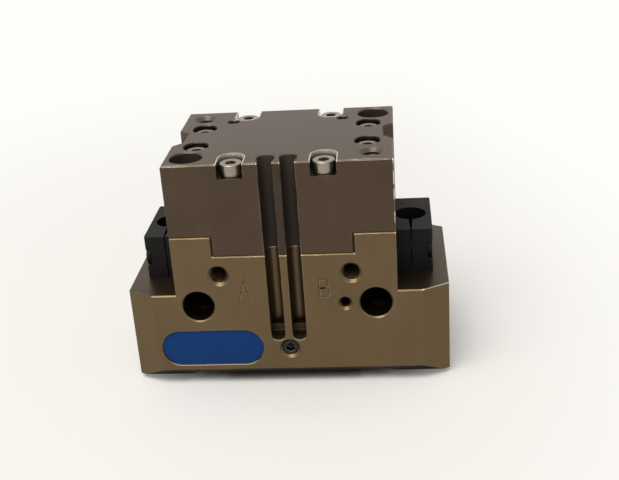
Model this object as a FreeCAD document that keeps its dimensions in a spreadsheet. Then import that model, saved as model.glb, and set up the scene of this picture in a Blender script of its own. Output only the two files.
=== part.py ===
"""Pneumatic parallel gripper with two base jaws, a wedge-hook drive and spring-held grip.

Frame: X is the jaw stroke, Y the depth, +Z points to the robot flange.
The origin is the centre of the finger faces of the jaws, so Z = 0 is the lowest plane.
The jaws are modelled closed, with the piston at the bottom of its cylinder.
"""
import FreeCAD, Part
import Sketcher
import math
import os
from types import SimpleNamespace

DRIVING_SIZES = [
    # alias, millimetres, what it measures
    ("body_length", 80.0, "housing along X"),
    ("body_depth", 42.0, "housing along Y"),
    ("neck_width", 54.8, "neck and spring housing along X"),
    ("corner_cut_x", 6.6, "upright corner cut of the housing along X"),
    ("corner_cut_y", 3.6, "upright corner cut of the housing along Y"),
    ("underside_bevel", 2.8, "bevel of the long lower edges"),
    ("jaw_proud", 1.0, "finger face below the underside of the housing"),
    ("shoulder_roof", 8.8, "metal between jaw guide and shoulder"),
    ("notch_width", 12.0, "mouth of the upright side notch"),
    ("notch_depth", 2.5, "depth of the side notch, walls at 45 degrees"),
    ("edge_break", 0.3, "small bevel of machined edges"),
    ("seat_width", 34.6, "seat between the ears"),
    ("seat_depth", 5.2, "depth of the seat below the ear tops"),
    ("seat_gap", 0.1, "play of the tongue in the seat, each side"),
    ("block_height", 18.5, "spring housing above the ear tops"),
    ("block_roof", 5.0, "metal above the spring pockets"),
    ("jaw_stroke", 6.0, "travel of each jaw"),
    ("piston_stroke", 7.0, "travel of the piston"),
    ("jaw_height", 16.0, "base jaw from finger face to its top"),
    ("jaw_width", 19.0, "base jaw over the tooth tips"),
    ("jaw_inner", 4.0, "inner end of the jaw, closed"),
    ("jaw_recess", 6.0, "outer end of the closed jaw behind the end of the housing"),
    ("tooth_depth", 1.5, "depth of the guide teeth"),
    ("tooth_flat", 0.5, "flat of tooth tip and tooth root"),
    ("tooth_margin", 2.0, "plain flank below and above the teeth"),
    ("guide_gap", 0.08, "play of the toothed guide"),
    ("guide_roof_gap", 0.2, "room above the jaw"),
    ("finger_hole_inset", 4.0, "outer finger screw from the outer end of the jaw"),
    ("finger_hole_pitch", 10.0, "spacing of the finger screws"),
    ("finger_core", 1.65, "radius of the M4 finger thread core"),
    ("finger_thread_depth", 9.0, "depth of the finger thread"),
    ("sleeve_bore", 3.0, "radius of the centring sleeve bore"),
    ("sleeve_depth", 2.0, "depth of the centring sleeve bore"),
    ("hook_bottom", 3.0, "underside of the wedge hook at rest"),
    ("hook_drop", 6.0, "top of the wedge hook below the jaw top at rest"),
    ("hook_foot", 13.0, "half width of the wedge hook at its underside"),
    ("hook_width", 12.0, "wedge hook along Y"),
    ("hook_gap", 0.5, "room above the lifted wedge hook"),
    ("rail_neck", 2.0, "reach of the T-rail neck along X"),
    ("rail_head", 2.0, "reach of the T-rail head along X"),
    ("rail_neck_width", 5.0, "T-rail neck along Y"),
    ("rail_head_width", 9.0, "T-rail head along Y"),
    ("rail_gap", 0.1, "play of the T-rail in the jaw"),
    ("shank_radius", 3.5, "shank of the wedge hook"),
    ("shank_gap", 0.05, "play of the shank in the partition"),
    ("partition", 4.5, "wall between jaw guide and cylinder"),
    ("cylinder_wall", 9.5, "metal in front of the oval cylinder"),
    ("seat_margin", 0.7, "seat floor outside the gasket groove"),
    ("piston_gap", 0.05, "play of the piston in the cylinder"),
    ("piston_height", 6.0, "thickness of the piston"),
    ("end_gap", 0.15, "room below and above the piston at its stops"),
    ("ring_height", 2.0, "height of the piston ring groove"),
    ("ring_depth", 1.6, "depth of the piston ring groove"),
    ("ring_rise", 1.65, "piston ring groove above the piston underside"),
    ("gasket_wall", 0.7, "metal between cylinder and gasket groove"),
    ("gasket_width", 1.6, "width of the gasket groove"),
    ("gasket_depth", 1.3, "depth of the gasket groove"),
    ("seal_gap", 0.03, "play of a seal in its groove"),
    ("rod_ring", 1.0, "section radius of the shank seal"),
    ("spring_wire", 1.4, "wire diameter of the springs"),
    ("spring_turns", 7.0, "turns of each spring"),
    ("spring_wall", 0.9, "spring from the end of the cylinder"),
    ("spring_clear", 0.3, "spring from the head of the piston screw"),
    ("spring_seat_gap", 0.3, "play of the spring in its pockets"),
    ("spring_seat_depth", 1.5, "spring seat in the piston"),
    ("magnet_radius", 1.5, "magnet in the piston"),
    ("magnet_height", 2.0, "height of the magnet"),
    ("magnet_inset", 2.5, "magnet axis from the front of the cylinder"),
    ("slot_place", 2.67, "sensor slot from the middle"),
    ("slot_mouth", 3.6, "opening of the sensor slot"),
    ("slot_radius", 2.2, "round bottom of the sensor slot"),
    ("slot_inset", 3.2, "centre of the round bottom behind the front face"),
    ("slot_end", 10.8, "lower end of the slot mouth above the underside"),
    ("slot_step", 3.1, "round bottom ends this far above the mouth's end"),
    ("bolt_inset_x", 5.2, "mounting bolt from the side of the neck"),
    ("bolt_inset_y", 5.7, "mounting bolt from the front and back face"),
    ("bolt_core", 2.1, "radius of the M5 thread core"),
    ("bolt_mouth_break", 0.95, "countersink of the M5 threads in the top face"),
    ("bolt_clear", 2.75, "radius of the bolt hole in the housing"),
    ("bolt_sink_radius", 4.5, "counterbore at the underside"),
    ("bolt_sink_depth", 5.4, "depth of that counterbore"),
    ("centring_radius", 4.0, "centring bore in the top face"),
    ("centring_depth", 6.0, "depth of the centring bore"),
    ("side_bore_inset", 5.3, "side mounting bore from the side of the neck"),
    ("side_bore_drop", 3.2, "side mounting bore below the shoulder"),
    ("side_bore_radius", 4.0, "radius of the side mounting bore"),
    ("side_bore_depth", 16.0, "depth of the side mounting bore"),
    ("side_web_radius", 2.25, "radius of the hole in the web behind it"),
    ("port_offset", 5.9, "air port from the mounting bolt along X"),
    ("port_rise", 5.1, "air port above the shoulder"),
    ("port_core", 2.1, "radius of the M5 port thread core"),
    ("port_depth", 9.0, "depth of the air port"),
    ("purge_offset", 7.6, "purge port from the side mounting bore along X"),
    ("purge_core", 1.25, "radius of the M3 purge thread core"),
    ("purge_depth", 6.0, "depth of the purge port"),
    ("mouth_break", 0.65, "countersink of the threaded mouths in the front face"),
    ("lube_rise", 8.4, "grease hole above the underside"),
    ("plug_radius", 2.0, "M4 plug of the grease hole"),
    ("plug_length", 5.0, "length of that plug"),
    ("plug_sink", 0.8, "plug below the front face"),
    ("plug_flats", 2.0, "hexagon socket of the plug"),
    ("thread_gap", 0.02, "play of a screw in its thread"),
    ("screw_radius", 1.5, "M3 shank"),
    ("screw_clear", 1.65, "hole for an M3 shank"),
    ("screw_head_radius", 2.75, "M3 cap head"),
    ("screw_head_height", 3.0, "height of the M3 cap head"),
    ("screw_flats", 2.5, "hexagon socket of the M3 cap head"),
    ("socket_depth", 1.4, "depth of the sockets"),
    ("low_socket_depth", 0.6, "depth of the sockets in low heads"),
    ("screw_grip", 8.0, "thread length in the housing"),
    ("screw_room", 0.5, "thread below the screw tip"),
    ("head_room", 0.35, "counterbore wall from the cap head"),
    ("edge_screw_offset", 5.25, "edge screw from the air port along X"),
    ("edge_screw_inset", 3.5, "edge screw behind the front face"),
    ("edge_notch_inset", 4.8, "centre of the round end of its notch behind the front face"),
    ("edge_screw_sink", 3.7, "depth of the edge screw notches"),
    ("corner_screw_inset", 6.3, "corner screw from the side of the neck"),
    ("corner_screw_offset", 8.3, "corner screw from the mounting bolt along Y"),
    ("corner_screw_sink", 3.9, "depth of the corner screw counterbores"),
    ("direct_place", 14.3, "direct air port from the middle along X"),
    ("direct_inset", 8.75, "direct air port from the back face"),
    ("direct_plug_length", 4.0, "length of its M3 plug"),
    ("direct_plug_sink", 0.7, "plug below the top face"),
    ("direct_plug_flats", 1.5, "hexagon socket of that plug"),
    ("direct_channel", 1.0, "radius of the air channel below the plug"),
    ("piston_screw_radius", 2.0, "M4 shank"),
    ("piston_screw_clear", 2.15, "hole for the M4 shank"),
    ("piston_head_radius", 3.5, "M4 cap head"),
    ("piston_head_height", 4.0, "height of the M4 cap head"),
    ("piston_head_sink", 4.2, "depth of its counterbore"),
    ("piston_screw_length", 10.0, "M4 shank length"),
    ("piston_screw_flats", 3.0, "hexagon socket of the M4 cap head"),
    ("bracket_bore", 4.0, "radius of the sensor bore"),
    ("bracket_bore_inset", 5.3, "sensor bore from the outer face of the bracket"),
    ("bracket_length", 9.0, "bracket along X, from the side of the neck"),
    ("bracket_depth", 21.0, "bracket along Y"),
    ("bracket_height", 11.5, "bracket above the shoulder"),
    ("bracket_slit", 1.3, "clamp slit at the sensor bore"),
    ("bracket_slit_front", 0.35, "clamp slit at the front of the bracket"),
    ("bracket_round", 0.5, "rounded upright edges of the bracket"),
    ("tongue_gap", 0.1, "play of the bracket tongue in the side notch"),
    ("sensor_hole_gap", 0.2, "sensor hole in the shoulder wider than the bracket bore"),
    ("bracket_screw_inset", 2.3, "clamp screw behind the front of the bracket"),
    ("bracket_head_sink", 1.2, "depth of the recess for the clamp screw"),
    ("bracket_head_height", 1.1, "flat head of the clamp screw"),
    ("bracket_screw_flats", 2.0, "hexagon socket of the clamp screw"),
    ("bracket_screw_grip", 4.5, "clamp screw thread in the neck"),
    ("cover_thickness", 1.6, "cover between the jaws"),
    ("cover_depth", 26.4, "cover along Y"),
    ("cover_gap", 0.7, "cover from the closed jaws"),
    ("cover_fit", 0.1, "play of the cover in its recess"),
    ("cover_screw_inset", 2.9, "cover screws from the edges of the cover"),
    ("cover_screw_radius", 0.8, "M1.6 shank"),
    ("cover_head_radius", 1.6, "M1.6 head"),
    ("cover_head_height", 0.9, "height of the M1.6 head"),
    ("cover_screw_flats", 1.3, "hexagon socket of the M1.6 head"),
    ("cover_screw_length", 5.0, "M1.6 shank length"),
    ("cam_length", 7.0, "control cam along X"),
    ("cam_width", 6.0, "control cam along Y"),
    ("cam_height", 3.0, "control cam along Z"),
    ("cam_gap", 0.1, "play of the cam in its slot"),
    ("cam_sink", 0.2, "cam below the jaw top"),
    ("cam_slot_room", 0.6, "cam slot beyond the inner end of the inner cam"),
    ("cam_screw_radius", 1.25, "M2.5 shank"),
    ("cam_head_radius", 2.1, "M2.5 head"),
    ("cam_head_height", 1.2, "height of the M2.5 head"),
    ("cam_screw_flats", 1.5, "hexagon socket of the M2.5 head"),
    ("cam_screw_length", 4.6, "M2.5 shank length"),
    ("plate_start", 6.6, "inner end of the name plate recess from the middle"),
    ("plate_margin", 0.8, "outer end of that recess from the corner cut"),
    ("plate_height", 9.8, "name plate recess along Z"),
    ("plate_rise", 9.05, "middle of the name plate above the underside"),
    ("plate_recess", 0.5, "depth of the recess"),
    ("plate_thickness", 0.4, "thickness of the name plate"),
    ("plate_gap", 0.1, "play of the name plate in its recess"),
    ("overcut", 1.0, "cutters run this far past a face"),
]
TOOTH_COUNT = 3
FLATS_TO_CORNERS = 1.0 / math.sqrt(3.0)
SIDES = (-1, 1)
ALONG_X = FreeCAD.Rotation(FreeCAD.Vector(0, 1, 0), 90)
ALONG_Y = FreeCAD.Rotation(FreeCAD.Vector(1, 0, 0), -90)

doc = FreeCAD.newDocument("parallel_gripper")


class Size:
    """A length in millimetres that also carries the sheet formula it comes from."""

    def __init__(self, value, formula):
        self.value = value
        self.formula = formula

    def joined(self, sign, other, value):
        return Size(value, f"({self.formula} {sign} {other.formula})")

    def __add__(self, other):
        other = size_of(other)
        return self.joined("+", other, self.value + other.value)

    def __sub__(self, other):
        other = size_of(other)
        return self.joined("-", other, self.value - other.value)

    def __mul__(self, other):
        other = size_of(other)
        return self.joined("*", other, self.value * other.value)

    def __truediv__(self, other):
        other = size_of(other)
        return self.joined("/", other, self.value / other.value)

    def __rsub__(self, other):
        return size_of(other) - self

    def __neg__(self):
        return size_of(0) - self

    __radd__ = __add__
    __rmul__ = __mul__


def size_of(thing):
    """Give a plain number the same form as a sheet size."""
    return thing if isinstance(thing, Size) else Size(float(thing), f"{float(thing):.9f}")


def fill_sheet():
    """Write the driving sizes into a sheet and return them by name."""
    sheet = doc.addObject("Spreadsheet::Sheet", "Sizes")
    named = {}
    for row, (alias, value, note) in enumerate(DRIVING_SIZES, 1):
        sheet.set(f"A{row}", alias)
        sheet.set(f"B{row}", str(value))
        sheet.set(f"C{row}", note)
        sheet.setAlias(f"B{row}", alias)
        named[alias] = Size(value, f"Sizes.{alias}")
    doc.recompute()
    return SimpleNamespace(**named)


S = fill_sheet()

# Levels from the finger faces upwards, and the faces that several pieces share.
underside = S.jaw_proud
guide_roof = S.jaw_height + S.guide_roof_gap
shoulder = guide_roof + S.shoulder_roof
hook_top = S.jaw_height - S.hook_drop
hook_roof = hook_top + S.piston_stroke + S.hook_gap
cylinder_floor = hook_roof + S.partition
seat_floor = cylinder_floor + S.piston_height + S.piston_stroke + 2 * S.end_gap
ear_top = seat_floor + S.seat_depth
top = ear_top + S.block_height
spring_roof = top - S.block_roof
piston_floor = cylinder_floor + S.end_gap
piston_top = piston_floor + S.piston_height
spring_floor = piston_top - S.spring_seat_depth
front = S.body_depth / 2
end = S.body_length / 2
neck_side = S.neck_width / 2
slope = S.jaw_stroke / S.piston_stroke
edge_screw_y = front - S.edge_screw_inset
side_bore_z = shoulder - S.side_bore_drop
lube_z = underside + S.lube_rise
plate_z = underside + S.plate_rise
bracket_screw_y = S.bracket_depth / 2 - S.bracket_screw_inset
bracket_screw_z = shoulder + S.bracket_height / 2
cover_top = underside + S.cover_thickness
cam_floor = S.jaw_height - S.cam_sink - S.cam_height
rail_reach = S.rail_neck + S.rail_head
bolt_x = neck_side - S.bolt_inset_x
bolt_y = front - S.bolt_inset_y
side_bore_x = neck_side - S.side_bore_inset
purge_x = side_bore_x - S.purge_offset
port_x = bolt_x - S.port_offset
edge_screw_x = port_x - S.edge_screw_offset
corner_screw_x = neck_side - S.corner_screw_inset
corner_screw_y = bolt_y - S.corner_screw_offset
direct_y = front - S.direct_inset
plate_end = end - S.corner_cut_x - S.plate_margin
plate_x = -(plate_end + S.plate_start) / 2
plate_reach = (plate_end - S.plate_start - S.plate_height) / 2
bracket_outer = neck_side + S.bracket_length
bracket_bore_x = bracket_outer - S.bracket_bore_inset

# Closed jaws: the left cam lies under its sensor bore, the right one reaches it when open.
jaw_outer = end - S.jaw_recess
finger_hole_x = jaw_outer - S.finger_hole_inset
cam_left = jaw_outer - S.cam_length / 2
cam_right = bracket_bore_x - S.jaw_stroke
cam_slot_start = cam_right - S.cam_length / 2 - S.cam_slot_room

# Oval cylinder inside the gasket, and the springs between its ends and the piston screw.
cylinder_radius = front - S.cylinder_wall
gasket_inner = cylinder_radius + S.gasket_wall
gasket_outer = gasket_inner + S.gasket_width
cylinder_reach = S.seat_width / 2 - S.seat_margin - gasket_outer
spring_outer = cylinder_reach + cylinder_radius - S.spring_wall
spring_inner = S.piston_head_radius + S.spring_clear
spring_radius = (spring_outer - spring_inner) / 2
spring_x = (spring_outer + spring_inner) / 2


def wedge_flank(level):
    """X of the slanted flank of the wedge hook at rest, at the given level."""
    return S.hook_foot - (level - S.hook_bottom) * slope


cover_half = wedge_flank(cover_top) - S.cover_gap
cover_screw_x = cover_half - S.cover_screw_inset
cover_screw_y = S.cover_depth / 2 - S.cover_screw_inset


def bind(item, path, size):
    """Set one property of an item and tie it to the sheet."""
    item.setExpression(path, size_of(size).formula)


def place(item, x, y, z, rotation=None):
    """Put an item at a point that follows the sheet."""
    base = [size_of(part) for part in (x, y, z)]
    point = FreeCAD.Vector(*(part.value for part in base))
    item.Placement = FreeCAD.Placement(point, rotation or FreeCAD.Rotation())
    for axis, part in zip("xyz", base):
        bind(item, f"Placement.Base.{axis}", part)
    return item


def new_body(label):
    body = doc.addObject("PartDesign::Body", label)
    body.Label = label
    return body


def new_sketch(body, plane, offset):
    """Empty sketch on an origin plane of the body, moved along the plane's normal.

    The normals are +Z for XY_Plane, -Y for XZ_Plane and +X for YZ_Plane.
    """
    drawing = body.newObject("Sketcher::SketchObject", "outline")
    support = next(item for item in body.Origin.OriginFeatures if item.Role == plane)
    drawing.AttachmentSupport = [(support, "")]
    drawing.MapMode = "FlatFace"
    bind(drawing, "AttachmentOffset.Base.z", offset)
    return drawing


def pin(drawing, kind, item, corner, size):
    """Fix the DistanceX or DistanceY of a sketch point from the sketch origin."""
    size = size_of(size)
    if size.value == 0:
        axis = -2 if kind == "DistanceX" else -1
        drawing.addConstraint(Sketcher.Constraint("PointOnObject", item, corner, axis))
        return
    index = drawing.addConstraint(Sketcher.Constraint(kind, -1, 1, item, corner, size.value))
    bind(drawing, f"Constraints[{index}]", size)


def pin_point(drawing, item, corner, x, y):
    pin(drawing, "DistanceX", item, corner, x)
    pin(drawing, "DistanceY", item, corner, y)


def flat_point(x, y):
    return FreeCAD.Vector(size_of(x).value, size_of(y).value, 0)


def polygon(drawing, points):
    """Closed outline of straight lines through the given points."""
    first = drawing.GeometryCount
    count = len(points)
    for index in range(count):
        ends = flat_point(*points[index]), flat_point(*points[(index + 1) % count])
        drawing.addGeometry(Part.LineSegment(*ends), False)
    for index in range(count):
        following = first + (index + 1) % count
        drawing.addConstraint(Sketcher.Constraint("Coincident", first + index, 2, following, 1))
    for index, (x, y) in enumerate(points):
        pin_point(drawing, first + index, 1, x, y)


def rectangle(drawing, left, low, right, high):
    polygon(drawing, [(left, low), (right, low), (right, high), (left, high)])


def circle(drawing, x, y, radius):
    normal = FreeCAD.Vector(0, 0, 1)
    item = drawing.addGeometry(Part.Circle(flat_point(x, y), normal, radius.value), False)
    pin_point(drawing, item, 3, x, y)
    index = drawing.addConstraint(Sketcher.Constraint("Radius", item, radius.value))
    bind(drawing, f"Constraints[{index}]", radius)


def stadium(drawing, x, y, reach, radius, upright=False):
    """Slot outline: round ends centred `reach` either side of (x, y), along X or upright."""
    x, y = size_of(x), size_of(y)
    first = drawing.GeometryCount
    normal = FreeCAD.Vector(0, 0, 1)
    turn = math.pi / 2 if upright else 0.0
    sides = []
    for sign in SIDES:
        if upright:
            sides.append(((x - sign * radius, y + sign * reach), (x - sign * radius, y - sign * reach)))
        else:
            sides.append(((x - sign * reach, y - sign * radius), (x + sign * reach, y - sign * radius)))
    for sign, (start, end) in zip(SIDES, sides):
        drawing.addGeometry(Part.LineSegment(flat_point(*start), flat_point(*end)), False)
    for sign in SIDES:
        middle = (x, y + sign * reach) if upright else (x + sign * reach, y)
        ring = Part.Circle(flat_point(*middle), normal, radius.value)
        opening = turn - sign * math.pi / 2 if sign > 0 else turn + math.pi / 2
        arc = Part.ArcOfCircle(ring, opening, opening + math.pi)
        drawing.addGeometry(arc, False)
    low_line, high_line, low_arc, high_arc = range(first, first + 4)
    joins = {(item, corner): drawing.getPoint(item, corner)
             for item in (low_line, high_line) for corner in (1, 2)}
    for arc in (low_arc, high_arc):
        for corner in (1, 2):
            spot = drawing.getPoint(arc, corner)
            line, end = min(joins, key=lambda key: joins[key].distanceToPoint(spot))
            drawing.addConstraint(Sketcher.Constraint("Coincident", arc, corner, line, end))
    for line, (start, end) in zip((low_line, high_line), sides):
        pin_point(drawing, line, 1, *start)
        pin_point(drawing, line, 2, *end)
    for sign, arc in zip(SIDES, (low_arc, high_arc)):
        if upright:
            pin(drawing, "DistanceY", arc, 3, y + sign * reach)
        else:
            pin(drawing, "DistanceX", arc, 3, x + sign * reach)


def volume_of(body):
    return body.Shape.Volume if body.Tip and not body.Shape.isNull() else 0.0


def extrude(body, kind, drawing, length, both_ways, flip):
    """Pad or pocket the sketch, and stop if the body did not change."""
    before = volume_of(body)
    feature = body.newObject(f"PartDesign::{kind}", kind.lower())
    feature.Profile = drawing
    feature.SideType = "Symmetric" if both_ways else "One side"
    feature.Reversed = flip
    bind(feature, "Length", length)
    doc.recompute()
    change = volume_of(body) - before
    if change == 0 or (change > 0) != (kind == "Pad"):
        raise RuntimeError(f"{body.Label}: {feature.Name} changed the volume by {change}")
    return feature


def pad(body, drawing, length, both_ways=False, flip=False):
    return extrude(body, "Pad", drawing, length, both_ways, flip)


def pocket(body, drawing, length, both_ways=False, flip=False):
    return extrude(body, "Pocket", drawing, length, both_ways, flip)


def dress(body, kind, path, size, wanted):
    """Chamfer or fillet every edge of the body that `wanted` picks."""
    base = body.Tip
    names = [f"Edge{index}" for index, edge in enumerate(base.Shape.Edges, 1) if wanted(edge)]
    if not names:
        raise RuntimeError(f"{body.Label}: no edge to {kind.lower()}")
    feature = body.newObject(f"PartDesign::{kind}", kind.lower())
    feature.Base = (base, names)
    bind(feature, path, size)
    doc.recompute()
    if "Invalid" in feature.State:
        raise RuntimeError(f"{body.Label}: {feature.Name} failed")


def chamfer(body, size, wanted):
    dress(body, "Chamfer", "Size", size, wanted)


def fillet(body, size, wanted):
    dress(body, "Fillet", "Radius", size, wanted)


def along(edge, axis, size):
    """True where the whole edge lies in the plane axis = size."""
    box = edge.BoundBox
    low, high = getattr(box, f"{axis}Min"), getattr(box, f"{axis}Max")
    return abs(low - size_of(size).value) < 1e-4 and abs(high - size_of(size).value) < 1e-4


def is_round(edge, radius):
    """True for a full circle of the given radius."""
    return edge.isClosed() and abs(edge.Length - 2 * math.pi * radius.value) < 1e-4


def is_straight(edge):
    return edge.Curve.TypeId == "Part::GeomLine"


def four_ways(x, y):
    return [(sx * x, sy * y) for sx in SIDES for sy in SIDES]


def notched_outline(drawing, half_width):
    """Rectangle of the neck with a tapered notch in the middle of each X side."""
    mouth = S.notch_width / 2
    floor = mouth - S.notch_depth
    right = [(half_width, -front), (half_width, -mouth), (half_width - S.notch_depth, -floor),
             (half_width - S.notch_depth, floor), (half_width, mouth), (half_width, front)]
    left = [(-x, y) for x, y in reversed(right)]
    polygon(drawing, right + left)


def toothed_flank(half_width):
    """Points of one flank of the multi-tooth guide, from the lowest tooth to the highest."""
    pitch = (S.jaw_height - 2 * S.tooth_margin) / TOOTH_COUNT
    rise = (pitch - 2 * S.tooth_flat) / 2
    points = []
    for index in range(TOOTH_COUNT):
        start = S.tooth_margin + index * pitch + S.tooth_flat / 2
        points += [(half_width - S.tooth_depth, start),
                   (half_width, start + rise),
                   (half_width, start + rise + S.tooth_flat),
                   (half_width - S.tooth_depth, start + 2 * rise + S.tooth_flat)]
    return points


def guide_outline(drawing, half_width, low, high):
    """Closed cross-section of the jaw guide in Y and Z."""
    root = half_width - S.tooth_depth
    right = [(root, low)] + toothed_flank(half_width) + [(root, high)]
    left = [(-y, z) for y, z in reversed(right)]
    polygon(drawing, right + left)


def make_housing():
    """Housing: jaw guide below, oval cylinder above, shoulders, neck and two ears."""
    body = new_body("housing")
    add_housing_walls(body)
    cut_drive_chambers(body)
    cut_mounting_holes(body)
    cut_front_features(body)
    cut_screw_holes(body)
    break_housing_edges(body)
    return body


def add_housing_walls(body):
    """Bevelled lower body with cut corners, and the neck with the seat between its ears."""
    section = new_sketch(body, "YZ_Plane", 0)
    bevel = S.underside_bevel
    polygon(section, [(bevel - front, underside), (front - bevel, underside),
                      (front, underside + bevel), (front, shoulder),
                      (-front, shoulder), (-front, underside + bevel)])
    pad(body, section, S.body_length, both_ways=True)

    corners = new_sketch(body, "XY_Plane", underside)
    for sx in SIDES:
        for sy in SIDES:
            polygon(corners, [(sx * end, sy * (front - S.corner_cut_y)),
                              (sx * (end + S.overcut), sy * (front - S.corner_cut_y)),
                              (sx * (end + S.overcut), sy * (front + S.overcut)),
                              (sx * (end - S.corner_cut_x), sy * (front + S.overcut)),
                              (sx * (end - S.corner_cut_x), sy * front)])
    pocket(body, corners, shoulder - underside, flip=True)

    neck = new_sketch(body, "XY_Plane", shoulder)
    notched_outline(neck, neck_side)
    pad(body, neck, ear_top - shoulder)

    seat = new_sketch(body, "XY_Plane", ear_top)
    reach = front + S.overcut
    rectangle(seat, -S.seat_width / 2, -reach, S.seat_width / 2, reach)
    pocket(body, seat, S.seat_depth)


def cut_drive_chambers(body):
    """Oval cylinder with gasket groove, shank bore with seal groove, jaw guide and hook room."""
    bore = new_sketch(body, "XY_Plane", seat_floor)
    stadium(bore, 0, 0, cylinder_reach, cylinder_radius)
    pocket(body, bore, seat_floor - cylinder_floor)

    groove = new_sketch(body, "XY_Plane", seat_floor)
    stadium(groove, 0, 0, cylinder_reach, gasket_inner)
    stadium(groove, 0, 0, cylinder_reach, gasket_outer)
    pocket(body, groove, S.gasket_depth)

    guide = new_sketch(body, "YZ_Plane", 0)
    guide_outline(guide, S.jaw_width / 2 + S.guide_gap, underside - S.overcut, guide_roof)
    pocket(body, guide, S.body_length + 2 * S.overcut, both_ways=True)

    room = new_sketch(body, "XY_Plane", guide_roof)
    half_x = wedge_flank(guide_roof - S.piston_stroke) + rail_reach + S.hook_gap
    half_y = S.hook_width / 2 + S.hook_gap
    rectangle(room, -half_x, -half_y, half_x, half_y)
    pocket(body, room, hook_roof - guide_roof, flip=True)

    shank = new_sketch(body, "XY_Plane", cylinder_floor)
    circle(shank, 0, 0, S.shank_radius + S.shank_gap)
    pocket(body, shank, S.partition)

    ring = new_sketch(body, "XZ_Plane", 0)
    middle = cylinder_floor - S.partition / 2
    outer = S.shank_radius + 2 * S.rod_ring + 2 * S.seal_gap
    rectangle(ring, 0.5 * S.shank_radius, middle - S.rod_ring - S.seal_gap,
              outer, middle + S.rod_ring + S.seal_gap)
    before = body.Shape.Volume
    cut = body.newObject("PartDesign::Groove", "groove")
    cut.Profile = ring
    cut.ReferenceAxis = (next(item for item in body.Origin.OriginFeatures if item.Role == "Z_Axis"), [""])
    cut.Angle = 360
    doc.recompute()
    if not body.Shape.Volume < before:
        raise RuntimeError("the seal groove of the shank cuts nothing")

    cover = new_sketch(body, "XY_Plane", underside)
    cover_x = cover_half + S.cover_fit
    cover_y = S.cover_depth / 2 + S.cover_fit
    rectangle(cover, -cover_x, -cover_y, cover_x, cover_y)
    pocket(body, cover, S.cover_thickness, flip=True)


def cut_mounting_holes(body):
    """Upright bolt holes, side bores from the front and back, sensor holes in the shoulders."""
    bolts = new_sketch(body, "XY_Plane", ear_top)
    for x, y in four_ways(bolt_x, bolt_y):
        circle(bolts, x, y, S.bolt_clear)
    pocket(body, bolts, ear_top)

    sinks = new_sketch(body, "XY_Plane", underside)
    for x, y in four_ways(bolt_x, bolt_y):
        circle(sinks, x, y, S.bolt_sink_radius)
    pocket(body, sinks, S.bolt_sink_depth, flip=True)

    for sign in SIDES:
        bores = new_sketch(body, "XZ_Plane", sign * front)
        for side in SIDES:
            circle(bores, side * side_bore_x, side_bore_z, S.side_bore_radius)
        pocket(body, bores, S.side_bore_depth, flip=sign < 0)

    web = new_sketch(body, "XZ_Plane", 0)
    for side in SIDES:
        circle(web, side * side_bore_x, side_bore_z, S.side_web_radius)
    pocket(body, web, S.body_depth, both_ways=True)

    sensors = new_sketch(body, "XY_Plane", shoulder)
    for side in SIDES:
        circle(sensors, side * bracket_bore_x, 0, S.bracket_bore + S.sensor_hole_gap)
    pocket(body, sensors, shoulder - guide_roof)


def cut_front_features(body):
    """Air ports, purge port, grease hole, name plate recess and the two sensor slots."""
    ports = new_sketch(body, "XZ_Plane", front)
    for side in SIDES:
        circle(ports, side * port_x, shoulder + S.port_rise, S.port_core)
    pocket(body, ports, S.port_depth)

    purge = new_sketch(body, "XZ_Plane", front)
    circle(purge, purge_x, side_bore_z, S.purge_core)
    pocket(body, purge, S.purge_depth)

    lube = new_sketch(body, "XZ_Plane", front)
    circle(lube, 0, lube_z, S.plug_radius + S.thread_gap)
    pocket(body, lube, front)

    recess = new_sketch(body, "XZ_Plane", front)
    stadium(recess, plate_x, plate_z, plate_reach, S.plate_height / 2)
    pocket(body, recess, S.plate_recess)

    mouth_end = underside + S.slot_end
    cut_sensor_slots(body, seat_floor, mouth_end, mouth_end + S.slot_step)


def cut_sensor_slots(body, high, mouth_end, round_end):
    """C-shaped slots in the front face, from `high` down to the round ends of their mouths."""
    rounds = new_sketch(body, "XY_Plane", high)
    for side in SIDES:
        circle(rounds, side * S.slot_place, S.slot_inset - front, S.slot_radius)
    pocket(body, rounds, high - round_end)

    mouths = new_sketch(body, "XZ_Plane", front)
    radius = S.slot_mouth / 2
    lowest = mouth_end + radius
    reach = (high + S.overcut - lowest) / 2
    for side in SIDES:
        stadium(mouths, side * S.slot_place, lowest + reach, reach, radius, upright=True)
    pocket(body, mouths, S.slot_inset)


def cut_screw_holes(body):
    """Threads for the edge, corner, bracket and cover screws."""
    thread = S.screw_radius + S.thread_gap
    edges = new_sketch(body, "XY_Plane", seat_floor)
    for x, y in four_ways(edge_screw_x, edge_screw_y):
        circle(edges, x, y, thread)
    pocket(body, edges, S.screw_grip + S.screw_room)

    corners = new_sketch(body, "XY_Plane", ear_top)
    for x, y in four_ways(corner_screw_x, corner_screw_y):
        circle(corners, x, y, thread)
    pocket(body, corners, S.screw_grip + S.screw_room)

    for side in SIDES:
        clamp = new_sketch(body, "YZ_Plane", side * neck_side)
        circle(clamp, -bracket_screw_y, bracket_screw_z, thread)
        pocket(body, clamp, S.bracket_screw_grip + S.screw_room, flip=side < 0)

    covers = new_sketch(body, "XY_Plane", cover_top)
    for x, y in four_ways(cover_screw_x, cover_screw_y):
        circle(covers, x, y, S.cover_screw_radius + S.thread_gap)
    pocket(body, covers, S.cover_screw_length, flip=True)


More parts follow.
